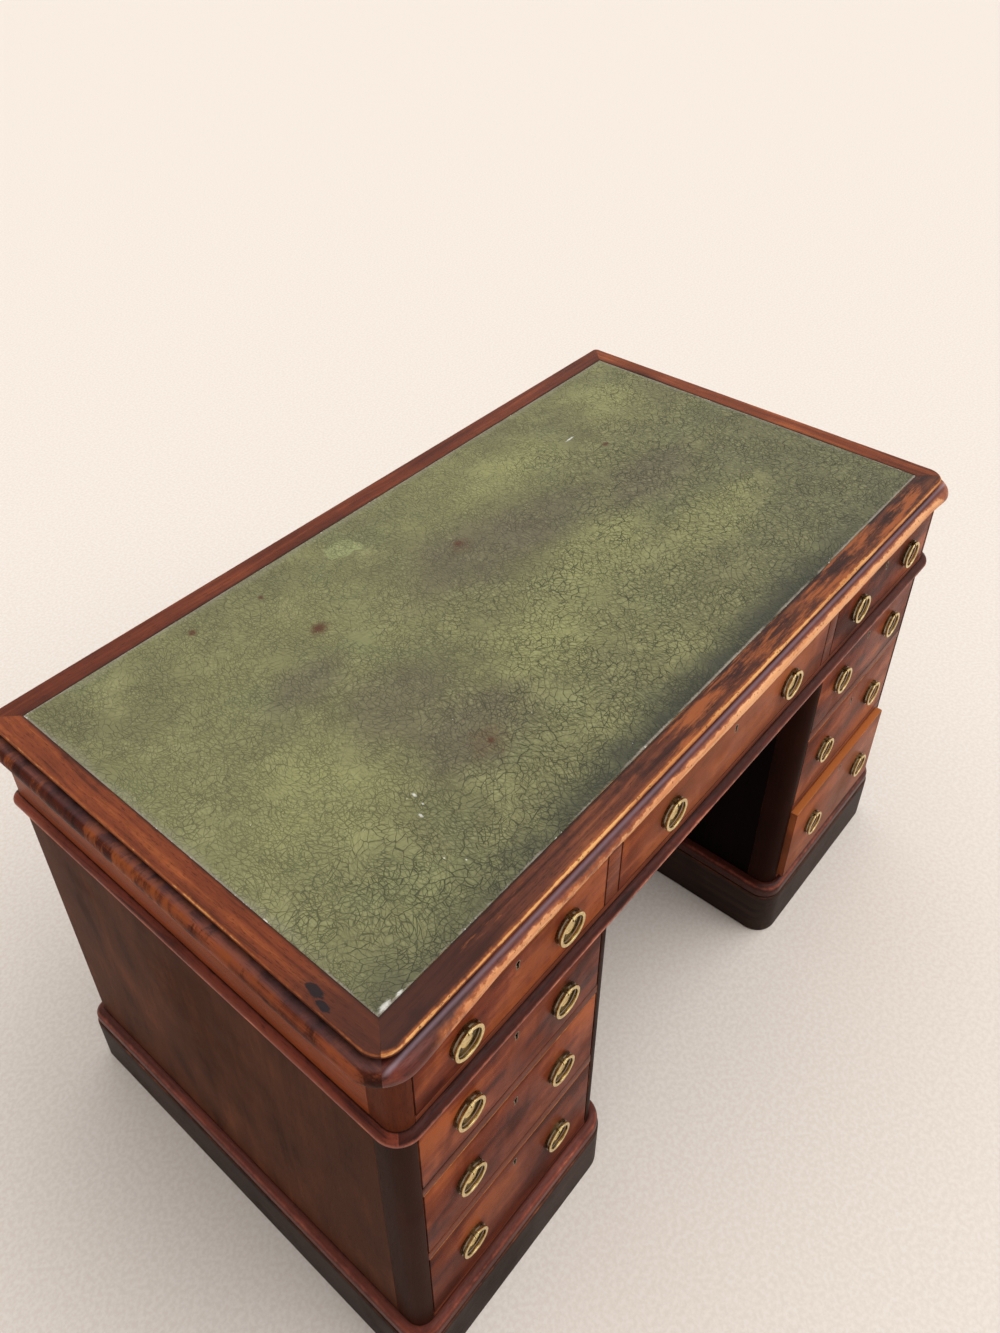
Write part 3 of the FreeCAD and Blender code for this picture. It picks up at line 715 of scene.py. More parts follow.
# Ranges are rows of from, to and the values there; lengths are in metres
leatherMasks = {
    "broad": (4.2, 4.0), "mottle": (17.0, 5.0, None, 0.65), "olive": (0.36, 0.62),
    "pale": (0.45, 0.75, 0.0, 0.8), "driftPlace": (5.0, 5.0, 0.0), "drift": (7.0, 4.0, None, 0.6),
    "cool": (0.5, 0.7, 0.0, 0.3), "shadeRight": (0.0, 0.4), "shadeForward": (0.22, -0.1),
    "shadeMix": 0.8, "crispRim": (0.15, 0.4),
    "fold": (-0.15, -0.75, 0.0, 0.25), "ridge": (0.2, 0.8, 0.0, 0.22), "dome": (1.2, 2.6, 0.0, 0.22),
    "slopeShare": 0.45, "slopeWander": 0.7, "bold": (-0.24, 0.16),
    "bandWander": 0.05, "band": (0.0, 0.06, 1.0, 0.0), "bandMix": 0.9,
    "handledLeft": (-0.5, -0.1, 0.5, 1.0), "handledRight": (0.2, 0.52, 1.0, 0.3),
    "fray": (130.0, 4.0, None, 0.7), "broken": (15.0, 3.0),
    "hazeWander": 0.03, "haze": (0.002, 0.014, 0.35, 0.0), "hazeBehind": (-0.27, -0.1),
    "paleWander": 0.008, "paleLine": (0.001, 0.003, 0.8, 0.0), "paleBreaks": (0.42, 0.56),
    "liftWander": 0.004, "lift": (0.0018, 0.0042, 0.9, 0.0), "liftFrom": (-0.24, -0.14),
    "liftBreaks": (0.34, 0.46),
    "chips": (52.0, 4.0, None, 0.7), "chipFall": 55.0, "chipRange": (0.56, 0.62),
    "speck": (260.0, 2.0), "speckRange": (0.765, 0.79), "scratchDensity": 0.22, "scratchMix": 0.25,
    "rough": (0.3, 0.7, 0.42, 0.58), "gloss": 0.25,
    "rippleHeight": 0.3, "domeHeight": 0.16, "crackDepth": 0.6, "relief": 0.001,
}


def leatherFinish():
    material, tree, shader = newMaterial("crackledGreenLeather")
    masks = leatherMasks
    flat = vectorMaths(tree, "MULTIPLY", objectCoords(tree), (1.0, 1.0, 0.0))
    x, y = axisOf(tree, flat, "X"), axisOf(tree, flat, "Y")
    broad = cloud(tree, flat, *masks["broad"])
    mottle = cloud(tree, flat, *masks["mottle"])
    color = blend(tree, ease(tree, broad, *masks["olive"]), leather["deepOlive"], leather["olive"])
    color = blend(tree, ease(tree, mottle, *masks["pale"]), color, leather["paleOlive"])
    drift = cloud(tree, vectorMaths(tree, "ADD", flat, masks["driftPlace"]), *masks["drift"])
    color = blend(tree, ease(tree, drift, *masks["cool"]), color, leather["coolGreen"])
    rightShade = times(tree, ease(tree, x, *masks["shadeRight"]), ease(tree, y, *masks["shadeForward"]))
    color = stain(tree, color, rightShade, masks["shadeMix"], leather["rightShade"])

    def addStains(color, stains):
        for tint, spots, strength, ragged, crisp in stains:
            for middleX, middleY, reachX, reachY in leather[spots]:
                mask = spotMask(tree, flat, (middleX, middleY, 0.0), (reachX, reachY, 1.0), ragged)
                if crisp:
                    mask = ease(tree, mask, *masks["crispRim"])
                color = stain(tree, color, mask, strength, leather[tint])
        return color

    color = addStains(color, leather["underStains"])

    # fine wrinkles run in several directions, each in its own patches
    ripple = 0.0
    for turn, place in leather["wrinkleTurns"]:
        moved = vectorMaths(tree, "ADD", flat, (place, place, 0.0))
        wrinkles = feedGroup(tree, fineWrinkles, {"Vector": moved, "Turn": turn})
        ripple = plus(tree, wrinkles["Height"], ripple)
    color = blend(tree, ease(tree, ripple, *masks["fold"]), color, leather["fold"])
    color = blend(tree, ease(tree, ripple, *masks["ridge"]), color, leather["ridge"])
    # cracks are boldest towards the front and the right
    slope = minus(tree, times(tree, x, masks["slopeShare"]), y)
    slope = plus(tree, slope, swing(tree, broad, masks["slopeWander"]))
    bold = ease(tree, slope, *masks["bold"])
    crack, dome = 0.0, 0.0
    for cells, line, place, patchiness, turn, faint, strong in leather["crackNets"]:
        moved = vectorMaths(tree, "ADD", flat, (place, place, 0.0))
        net = feedGroup(tree, wrinkleNet, {
            "Vector": moved, "Cells": cells, "Line": line, "Break": patchiness, "Turn": turn})
        shown = ease(tree, bold, 0.0, 1.0, faint, strong)
        crack = larger(tree, times(tree, net["Crease"], shown), crack)
        dome = plus(tree, times(tree, net["Dome"], shown), dome)
    color = blend(tree, ease(tree, dome, *masks["dome"]), color, leather["ridge"])
    color = blend(tree, crack, color, leather["crease"])
    color = addStains(color, leather["rustStains"])

    # dark handled band along the front, and a pale broken line at every edge
    low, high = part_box("leather_skiver")
    fromFront = minus(tree, y, low.y)
    fromEdge = smaller(tree, fromFront, minus(tree, high.y, y))
    fromEdge = smaller(tree, fromEdge, minus(tree, high.x, unsigned(tree, x)))
    band = plus(tree, fromFront, swing(tree, mottle, masks["bandWander"]))
    handled = times(tree, ease(tree, x, *masks["handledLeft"]), ease(tree, x, *masks["handledRight"]))
    band = times(tree, ease(tree, band, *masks["band"]), handled)
    color = stain(tree, color, band, masks["bandMix"], leather["frontDark"])
    fray = centred(tree, cloud(tree, flat, *masks["fray"]))
    broken = cloud(tree, flat, *masks["broken"])
    hazy = plus(tree, fromEdge, swing(tree, broken, masks["hazeWander"]))
    hazy = times(tree, ease(tree, hazy, *masks["haze"]), ease(tree, y, *masks["hazeBehind"]))
    color = blend(tree, hazy, color, leather["haze"])
    pale = plus(tree, fromEdge, times(tree, fray, masks["paleWander"]))
    pale = times(tree, ease(tree, pale, *masks["paleLine"]), ease(tree, broken, *masks["paleBreaks"]))
    color = blend(tree, pale, color, leather["frayed"])
    # the front edge has lifted and frayed from the middle to the right
    lifted = plus(tree, fromFront, times(tree, fray, masks["liftWander"]))
    lifted = times(tree, ease(tree, lifted, *masks["lift"]), ease(tree, x, *masks["liftFrom"]))
    lifted = times(tree, lifted, ease(tree, broken, *masks["liftBreaks"]))
    color = blend(tree, lifted, color, leather["frayed"])
    chips = cloud(tree, flat, *masks["chips"])
    chips = minus(tree, chips, times(tree, fromEdge, masks["chipFall"]))
    color = blend(tree, ease(tree, chips, *masks["chipRange"]), color, leather["chip"])
    color = addStains(color, leather["scuffStains"])
    speck = cloud(tree, flat, *masks["speck"])
    color = blend(tree, ease(tree, speck, *masks["speckRange"]), color, leather["chip"])
    scratch = feedGroup(tree, fineScratches, {"Vector": flat, "Density": masks["scratchDensity"]})["Mask"]
    color = stain(tree, color, scratch, masks["scratchMix"], leather["ridge"])
    feed(tree, shader.inputs["Base Color"], color)
    feed(tree, shader.inputs["Roughness"], ease(tree, mottle, *masks["rough"]))
    shader.inputs["Specular IOR Level"].default_value = masks["gloss"]
    height = plus(tree, times(tree, ripple, masks["rippleHeight"]), times(tree, dome, masks["domeHeight"]))
    height = minus(tree, height, times(tree, crack, masks["crackDepth"]))
    feed(tree, shader.inputs["Normal"], bump(tree, height, masks["relief"]))
    return material


def buildLeather():
    low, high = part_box("leather_skiver")
    solid = newSolid()
    gap = leather["edgeGap"]
    span = high - low
    countX, countY = (round(length / leather["cellStep"]) for length in span[:2])
    top, bottom = [], {}
    for j in range(countY + 1):
        row = []
        for i in range(countX + 1):
            spot = Vector((low.x + gap + (span.x - 2 * gap) * i / countX,
                           low.y + gap + (span.y - 2 * gap) * j / countY, 0.0))
            nearFront = max(0.0, 1.0 - j / leather["biteRows"])
            bitten = max(0.0, rugged(spot, *leather["biteGrain"]) + leather["biteBias"])
            spot.y += leather["frontBite"] * nearFront * bitten
            fall = leather["cockle"] * (1.0 + rugged(spot, *leather["cockleGrain"]))
            atEdge = i in (0, countX) or j in (0, countY)
            drop = leather["edgeDrop"] if atEdge else 0.0
            row.append(solid.verts.new((spot.x, spot.y, high.z - fall - drop)))
            if atEdge:
                bottom[j, i] = solid.verts.new((spot.x, spot.y, low.z))
        top.append(row)
    for j in range(countY):
        for i in range(countX):
            solid.faces.new((top[j][i], top[j][i + 1], top[j + 1][i + 1], top[j + 1][i]))
    ring = ([(0, i) for i in range(countX)] + [(j, countX) for j in range(countY)]
            + [(countY, i) for i in range(countX, 0, -1)] + [(j, 0) for j in range(countY, 0, -1)])
    for (j, i), (jNext, iNext) in zip(ring, ring[1:] + ring[:1]):
        solid.faces.new((top[j][i], bottom[j, i], bottom[jNext, iNext], top[jNext][iNext]))
    solid.faces.new([bottom[place] for place in ring][::-1])
    piece = settle("leather_top", solid, leatherFinish(), "carcass", ["leather_skiver"],
                   leather["smoothAngle"])


buildLeather()
print("leather laid")


# Border boards around the leather, with an undercut lip
border = {
    "step": 9 * mm, "lipThick": 6.5 * mm, "lipRound": 2.2 * mm, "lipSteps": 5, "undercut": 5 * mm,
    "frontRadius": 28 * mm, "backRadius": 8 * mm, "frontReach": 2.5 * mm, "rimDrop": 0.6 * mm,
    "rimShare": 0.03, "topShares": (0.25, 0.5, 0.75, 1.0), "flatEnd": 4 * mm, "shoulder": 1.5 * mm,
    "shoulderWear": 0.3, "lipWear": (0.4, 0.75, 0.95, 1.0, 0.95, 0.7), "lipFoot": (0.1 * mm, 0.5 * mm),
    "lipFootGrimeShade": 0.6, "coveSetback": 0.6 * mm, "coveTurn": (100, 170), "coveSteps": 5,
    "coveFloor": 0.2 * mm, "footSetback": 0.4 * mm, "dentGrain": (130.0, 26.0),
    "dentDepth": {"front": 1.5 * mm, "left": 0.7 * mm, "right": 0.7 * mm, "back": 0.4 * mm},
}
borderLook = finishFrom(
    mahogany, dark=(76, 32, 16), middle=(120, 56, 29), light=(156, 82, 42), figure=0.4, streak=1.0,
    pore=0.85, wear=0.3, grime=0.35, scratch=0.35, gloss=0.12)
borderMarks = {
    "leatherShade": seen(26, 14, 11), "burnt": seen(46, 27, 26), "bared": seen(166, 92, 50),
    "ink": seen(22, 22, 28), "cornerShade": seen(62, 34, 27), "cornerMix": 0.75,
    "corner": ((-0.58, -0.33, 0.76), (0.2, 0.16, 1.0), 1.2),
    "inkBlots": [((-0.606, -0.234, 0.76), (0.008, 0.017, 1.0), 0.9),
                 ((-0.612, -0.252, 0.76), (0.006, 0.013, 1.0), 0.9)],
    "inkRange": (0.2, 0.6, 0.0, 0.9),
    "rim": (45.0, 3.0), "rimWander": 0.004, "frontRim": (-0.001, 0.0022, 0.8, 0.0),
    "plainRim": (-0.001, 0.0022, 0.55, 0.0), "handled": (-0.35, 0.05),
    "burntCloud": (1.0, 5.0, (15.0, 30.0, 1.0), 0.6), "burntGain": 0.11, "burntRange": (0.48, 0.66),
    "burntAcross": (0.03, 0.012, 0.45, 0.85),
    "baredCloud": (1.0, 6.0, (8.0, 70.0, 1.0), 0.7), "baredGain": 0.12, "baredRange": (0.6, 0.72),
    "baredMix": 0.75, "edgeFrom": (-0.5, -0.25, 0.65, 1.0),
}


def borderLayers(onFront):
    def layers(tree, coords, color, edge, normal):
        marks = borderMarks
        x, y = axisOf(tree, coords, "X"), axisOf(tree, coords, "Y")
        low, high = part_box("leather_skiver")
        past = larger(tree, minus(tree, unsigned(tree, x), high.x), minus(tree, unsigned(tree, y), high.y))
        rim = cloud(tree, coords, *marks["rim"])
        rim = minus(tree, past, times(tree, rim, marks["rimWander"]))
        rimRange = marks["frontRim"] if onFront else marks["plainRim"]
        color = blend(tree, ease(tree, rim, *rimRange), color, marks["leatherShade"])
        shade = spotMask(tree, coords, *marks["corner"])
        color = stain(tree, color, shade, marks["cornerMix"], marks["cornerShade"])
        if onFront:
            # handled hardest right of the middle
            handled = ease(tree, x, *marks["handled"])
            burnt = cloud(tree, coords, *marks["burntCloud"])
            burnt = plus(tree, burnt, times(tree, handled, marks["burntGain"]))
            burnt = ease(tree, burnt, *marks["burntRange"])
            color = stain(tree, color, burnt, ease(tree, past, *marks["burntAcross"]), marks["burnt"])
            bared = cloud(tree, coords, *marks["baredCloud"])
            bared = plus(tree, bared, times(tree, handled, marks["baredGain"]))
            bared = ease(tree, bared, *marks["baredRange"])
            color = stain(tree, color, bared, marks["baredMix"], marks["bared"])
            edge = times(tree, edge, ease(tree, x, *marks["edgeFrom"]))
        else:
            for blot in marks["inkBlots"]:
                ink = spotMask(tree, coords, *blot)
                color = blend(tree, ease(tree, ink, *marks["inkRange"]), color, marks["ink"])
        return color, edge
    return layers


def buildBorder():
    low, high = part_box("top_border")
    well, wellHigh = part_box("leather_skiver")
    low = low - Vector((0.0, border["frontReach"], 0.0))
    outline = outlineOf(low, high, border)
    inset = (well.x - low.x, (well.y - low.y, high.y - wellHigh.y))
    top, foot = high.z, low.z
    curve, under, cut = border["lipRound"], top - border["lipThick"], border["undercut"]
    profile = [onCore(foot, 1.0), onCore(top - border["rimDrop"], 1.0)]
    profile.append(onCore(top, 0.0, border["rimShare"]))
    profile += [(share, -curve - border["flatEnd"], top, 0.0, 0.0) for share in border["topShares"]]
    profile.append(onEdge(-curve - border["shoulder"], top, border["shoulderWear"]))
    lip = arc((-curve, top - curve), curve, 90, 0, border["lipSteps"])
    profile += [onEdge(*point, worn) for point, worn in zip(lip, border["lipWear"])]
    # the lip's foot and the undercut cove take grime and a painted shadow under the lip
    setback, rise = border["lipFoot"]
    profile.append(onEdge(-setback, under + rise, 0.0, border["lipFootGrimeShade"]))
    cove = arc((-border["coveSetback"], under - cut), cut, *border["coveTurn"], border["coveSteps"])
    lowest = foot + border["coveFloor"]
    profile += [onEdge(offset, level, 0.0, 1.0) for offset, level in cove if level > lowest]
    profile.append(onEdge(-cut - border["footSetback"], foot, 0.0, 1.0))
    front = woodFinish("frontBorderWood", finishFrom(
        borderLook, dark=(54, 27, 21), middle=(96, 52, 37), light=(134, 76, 48), wear=0.75),
        borderLayers(True))
    back = woodFinish("backBorderWood", finishFrom(
        borderLook, dark=(62, 25, 14), middle=(98, 42, 24), light=(128, 62, 34), wear=0.1),
        borderLayers(False))
    ends = woodFinish("endBorderWood", finishFrom(borderLook, grain="Y", wear=0.2), borderLayers(False))
    materials = {"front": front, "back": back, "left": ends, "right": ends}
    sweepFrame("border", outline, inset, profile, border["step"], materials, "top_border",
               denting(border))


buildBorder()
print("border boards laid")


# Thumb moulding under the border
thumb = {
    "step": 9 * mm, "width": 40 * mm, "frontRadius": 47 * mm, "backRadius": 22 * mm, "crown": 13 * mm,
    "foot": 8 * mm, "seat": 6 * mm, "shoulder": 2.5 * mm, "shoulderGrimeShade": 0.75, "crownSteps": 12,
    "footSteps": 9,
    # crown rows take wear, and grime with a painted shadow from the lip above, scaled for each side as
    # listed below
    "crownWear": (0.0, 0.0, 0.12, 0.32, 0.55, 0.7, 0.85, 0.95, 1.0, 1.0, 1.0, 1.0, 1.0),
    "crownGrimeShade": (0.7, 0.6, 0.5, 0.4, 0.3, 0.2, 0.1, 0.0, 0.0, 0.0, 0.0, 0.0, 0.0),
    "footWear": (1.0, 1.0, 0.95, 0.75, 0.45, 0.2, 0.0, 0.0, 0.0, 0.0),
    "dentDepth": {"front": 1.2 * mm, "left": 0.5 * mm, "right": 0.5 * mm, "back": 0.3 * mm},
    "dentGrain": (110.0, 30.0), "dirt": {"front": 0.2, "left": 0.62, "right": 0.62},
    # x along the front, and how far the nose has worn back there
    "rubbedAway": [(-0.58, 0.0), (-0.46, 6.5 * mm), (-0.2, 6.5 * mm), (0.05, 4.5 * mm), (0.55, 4.0 * mm),
                   (0.6, 0.0)],
}
thumbLook = finishFrom(
    mahogany, dark=(60, 25, 20), middle=(104, 46, 35), light=(146, 76, 48), figure=0.6, wear=0.2,
    grime=0.4, gloss=0.2, coat=0.03, bare=(233, 172, 122), bareDark=(206, 134, 86))
thumbMarks = {
    "paintedSheen": seen(108, 84, 86), "shine": seen(146, 122, 130), "copper": seen(142, 74, 39),
    "shade": seen(38, 19, 14), "shineAt": 14.5 * mm, "shineRange": (0.0, 4 * mm, 0.75, 0.0),
    "shineUpward": (0.6, 0.95),
    "bareReach": [(-0.5, 0.0, 0.5, 1.0), (-0.6, -0.5, 0.0, 1.0), (0.5, 0.62, 1.0, 0.35)],
    "barAxis": (1.0, 0.6, 0.5), "barTurn": 0.8, "bars": (1.0, 5.0, (26.0, 66.0, 26.0), 0.68),
    "patches": (1.0, 3.0, (10.0, 13.0, 10.0), 0.5), "patchGain": 0.7, "toBack": (-0.3, 0.05, 0.35, 1.0),
    "copperRange": (0.46, 0.68), "shadeRange": (0.44, 0.3, 0.0, 0.75), "sheenUpward": (0.8, 0.98),
    "sheenMix": 0.35,
}


def thumbFrontLayers(tree, coords, color, edge, normal):
    marks = thumbMarks
    x, y = axisOf(tree, coords, "X"), axisOf(tree, coords, "Y")
    # painted highlight: a pale line on the flat under the lip, on upward faces
    fromFace = minus(tree, y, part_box("top_edge_moulding")[0].y + marks["shineAt"])
    shine = ease(tree, unsigned(tree, fromFace), *marks["shineRange"])
    upward = ease(tree, axisOf(tree, normal, "Z"), *marks["shineUpward"])
    color = stain(tree, color, shine, upward, marks["shine"])
    # hands have bared the nose most from the middle to the right
    for span in marks["bareReach"]:
        edge = times(tree, edge, ease(tree, x, *span))
    return color, edge


def thumbEndLayers(tree, coords, color, edge, normal):
    marks = thumbMarks
    y = axisOf(tree, coords, "Y")
    bars = cloud(tree, turned(tree, coords, marks["barTurn"], marks["barAxis"]), *marks["bars"])
    patches = cloud(tree, coords, *marks["patches"])
    toBack = ease(tree, y, *marks["toBack"])
    bars = plus(tree, bars, swing(tree, patches, marks["patchGain"]))
    color = stain(tree, color, ease(tree, bars, *marks["copperRange"]), toBack, marks["copper"])
    color = blend(tree, ease(tree, bars, *marks["shadeRange"]), color, marks["shade"])
    # painted sheen: a pale reflection on the upward faces of the crown
    upward = ease(tree, axisOf(tree, normal, "Z"), *marks["sheenUpward"])
    return stain(tree, color, upward, marks["sheenMix"], marks["paintedSheen"]), edge


def buildThumbMoulding():
    low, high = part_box("top_edge_moulding")
    outline = outlineOf(low, high, thumb)
    crown, foot = thumb["crown"], thumb["foot"]
    plainDent = denting(thumb)
    # the seat and shoulder under the lip take grime and a painted shadow from the lip
    profile = [onCore(low.z), onCore(high.z, 1.0), onEdge(-crown - thumb["seat"], high.z, 0.0, 1.0),
               onEdge(-crown - thumb["shoulder"], high.z, 0.0, thumb["shoulderGrimeShade"])]
    crownArc = arc((-crown, high.z - crown), crown, 90, 0, thumb["crownSteps"])
    crownRows = zip(crownArc, thumb["crownWear"], thumb["crownGrimeShade"])
    profile += [onEdge(*point, worn, dirty) for point, worn, dirty in crownRows]
    footArc = arc((-foot, low.z + foot), foot, 0, -90, thumb["footSteps"])
    profile += [onEdge(*point, worn) for point, worn in zip(footArc, thumb["footWear"])]

    def dent(spot, worn, side):
        depth = plainDent(spot, worn, side)
        if side == "front":
            # generations of sleeves have flattened the nose
            below = min(1.0, max(0.0, (high.z - spot.z) / crown))
            for (start, first), (end, last) in zip(thumb["rubbedAway"], thumb["rubbedAway"][1:]):
                if start <= spot.x < end:
                    depth += (first + (last - first) * (spot.x - start) / (end - start)) * below
        return depth

    front = woodFinish("frontThumbWood", finishFrom(thumbLook, wear=0.85), thumbFrontLayers)
    back = woodFinish("backThumbWood", finishFrom(thumbLook, wear=-0.4))
    ends = woodFinish("endThumbWood", finishFrom(
        thumbLook, grain="Y", middle=(74, 32, 21), wear=-0.35, gloss=0.04, coat=0.0), thumbEndLayers)
    materials = {"front": front, "back": back, "left": ends, "right": ends}
    sweepFrame("thumb_moulding", outline, evenInset(thumb["width"]), profile, thumb["step"], materials,
               "top_edge_moulding", dent, thumb["dirt"])


buildThumbMoulding()
print("thumb moulding run")


# Bead between the frieze and the pedestals
bead = {
    "step": 14 * mm, "frontRadius": 32 * mm, "backRadius": 16 * mm, "depth": 10 * mm, "steps": 14,
    "wearHighlightSteps": 3, "endGrimeShade": 0.9, "upperGrimeShade": 0.35, "upperSteps": 4, "dentDepth": 0.5 * mm,
    "dentGrain": (120.0, 35.0),
}
# its rubbed and bare colours also paint a highlight along the nose
beadLook = finishFrom(
    mahogany, dark=(40, 17, 14), middle=(70, 29, 22), light=(98, 44, 32), figure=0.35, wear=0.35,
    gloss=0.1, coat=0.0, rubbed=(156, 84, 66), bare=(200, 130, 100), bareDark=(166, 94, 70))


def buildBead():
    low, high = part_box("frieze_bead")
    outline = outlineOf(low, high, bead)
    depth, half, steps = bead["depth"], (high.z - low.z) / 2, bead["steps"]
    profile = []
    for i in range(steps + 1):
        angle = math.radians(90 - 180 * i / steps)
        # the nose rows take real rubbing and a painted highlight
        worn = max(0.0, 1.0 - abs(i - steps / 2) / bead["wearHighlightSteps"])
        # the upper rows take grime and a painted dark reflection; both ends grime and painted shade
        dirty = bead["upperGrimeShade"] if i < bead["upperSteps"] else 0.0
        if i in (0, steps):
            dirty = bead["endGrimeShade"]
        offset, level = -depth + depth * math.cos(angle), low.z + half + half * math.sin(angle)
        profile.append(onEdge(offset, level, worn, dirty))
    longWood = woodFinish("beadWood", beadLook)
    endWood = woodFinish("endBeadWood", finishFrom(
        beadLook, grain="Y", dark=(62, 27, 21), middle=(124, 57, 41), light=(152, 76, 54)))
    sweepFrame("bead", outline, evenInset(depth), profile, bead["step"], longAndEnds(longWood, endWood),
               "frieze_bead", denting(bead))


buildBead()
print("bead run")


# Carcass walls: rounded posts with panels behind them
walls = {
    "panel": 24 * mm, "postDepth": 40 * mm, "cornerRadius": 22 * mm, "backRadius": 6 * mm,
    "easing": 0.5 * mm, "forwardShade": (-0.02, -0.27, 0.0, 0.4),
}
friezeLook = finishFrom(
    mahogany, dark=(94, 42, 20), middle=(130, 60, 29), light=(156, 78, 40), wear=0.1, figure=0.35,
    streak=0.6, grime=0.25, gloss=0.05, coat=0.0)
sideLook = finishFrom(
    mahogany, dark=(62, 36, 25), middle=(82, 48, 33), light=(104, 61, 41), dirt=(56, 36, 28),
    grimeScale=4.0, grime=0.6, figure=0.6, streak=0.35, rough=(0.45, 0.6), gloss=0.015, coat=0.0, wear=0.0)
# Painted shade: the walls of the knee-hole are near black
kneeShadedLook = finishFrom(
    sideLook, dark=(8, 4, 3), middle=(13, 6, 5), light=(20, 10, 8), dirt=(8, 4, 3), gloss=0.01)
postLook = finishFrom(
    mahogany, dark=(34, 17, 12), middle=(50, 26, 18), light=(72, 38, 26), grain="Z", figure=0.3,
    streak=0.3, wear=0.1, gloss=0.01, coat=0.0)


def buildWall(name, outer, side, front, back, low, high, post, panel, stands):
    inner = outer - side * walls["panel"]
    lowX, highX = min(outer, inner), max(outer, inner)
    joint = front + walls["postDepth"]
    small, large, rear = walls["easing"], walls["cornerRadius"], walls["backRadius"]
    postRadii = (large, small, small, small) if side < 0 else (small, large, small, small)
    panelRadii = (small, small, small, rear) if side < 0 else (small, small, rear, small)
    for part, start, end, radii, wood in (("post", front, joint, postRadii, post),
                                          ("panel", joint, back, panelRadii, panel)):
        solid = newSolid()
        addPrism(solid, roundedOutline((lowX, start), (highX, end), radii), low, high)
        settle(f"{name}_{part}", solid, wood, "carcass", [stands])


def sideLayers(tree, coords, color, edge, normal):
    forward = ease(tree, axisOf(tree, coords, "Y"), *walls["forwardShade"])
    return blend(tree, forward, color, sideLook["dark"]), edge


postWood = woodFinish("postWood", postLook)
friezePostWood = woodFinish("friezePostWood", finishFrom(
    postLook, dark=(60, 29, 20), middle=(92, 45, 28), light=(116, 60, 36)))
friezeEndWood = woodFinish("friezeEndWood", finishFrom(friezeLook, grain="Y"))
sideWood = woodFinish("pedestalSideWood", finishFrom(sideLook, grain="Z"), sideLayers)
kneeShadedWood = woodFinish("kneeHoleShadedWood", finishFrom(kneeShadedLook, grain="Z"))
# posts beside the knee-hole, darkened with painted shade
kneePostShadedWood = woodFinish("kneePostShadedWood", finishFrom(
    postLook, dark=(24, 12, 9), middle=(38, 19, 14), light=(52, 27, 19)))


def buildWalls():
    for tag, stands in (("frieze", "frieze_ends"), ("left_pedestal", "left_pedestal_sides"),
                        ("right_pedestal", "right_pedestal_sides")):
        low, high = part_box(stands)
        for hand, outer, side in (("left", low.x, -1), ("right", high.x, 1)):
            post, panel = postWood, sideWood
            if tag == "frieze":
                post, panel = friezePostWood, friezeEndWood
            elif not tag.startswith(hand):
                # the knee-hole side takes the woods darkened with painted shade
                post, panel = kneePostShadedWood, kneeShadedWood
            buildWall(f"{tag}_{hand}", outer, side, low.y, high.y, low.z, high.z, post, panel, stands)


buildWalls()
print("posts and side panels set")


# Rails, dividers and boards of the frames
frames = {
    "easing": 1.1 * mm, "railDepth": 45 * mm, "divider": 25 * mm, "dustBoard": 10 * mm, "sideGap": 1 * mm,
    "runGap": 0.3 * mm, "headGap": 1.2 * mm,
}
railWood = woodFinish("railWood", finishFrom(
    mahogany, dark=(62, 28, 19), middle=(104, 50, 32), light=(138, 72, 42), figure=0.35, wear=0.3,
    gloss=0.06, coat=0.0))
backWood = woodFinish("backBoardWood", finishFrom(
    mahogany, grain="Z", dark=(52, 34, 22), middle=(92, 62, 40), light=(122, 86, 56), figure=0.8,
    pore=0.2, rough=(0.55, 0.7), coat=0.0, wear=0.1, rubbed=(130, 90, 58), bare=(176, 130, 84)))
oakLook = finishFrom(
    mahogany, grain="Y", dark=(112, 80, 46), middle=(150, 112, 68), light=(178, 140, 92), figure=0.45,
    dirt=(92, 66, 40), grime=0.5, rough=(0.6, 0.75), coat=0.0, wear=0.1, rubbed=(170, 134, 88),
    bare=(204, 170, 118), bareDark=(176, 138, 90))
oakWood = woodFinish("drawerOak", oakLook)
oakAcross = woodFinish("drawerBottomOak", finishFrom(oakLook, grain="X"))
pineWood = woodFinish("panelPine", finishFrom(
    oakLook, grain="X", dark=(140, 104, 62), middle=(186, 148, 98), light=(206, 172, 122)))


def buildBoard(name, low, high, easing, material, body, stands, edgeMark="wear", endGrimeShade=0.0):
    solid = newSolid()
    addBoard(solid, low, high, easing, edgeMark, endGrimeShade)
    return settle(name, solid, material, body, [stands])


def buildRail(name, low, high, stands):
    # every eased edge of a rail takes grime and painted shade along the gaps
    buildBoard(name, low, high, frames["easing"], railWood, "carcass", stands, "grimeShade")


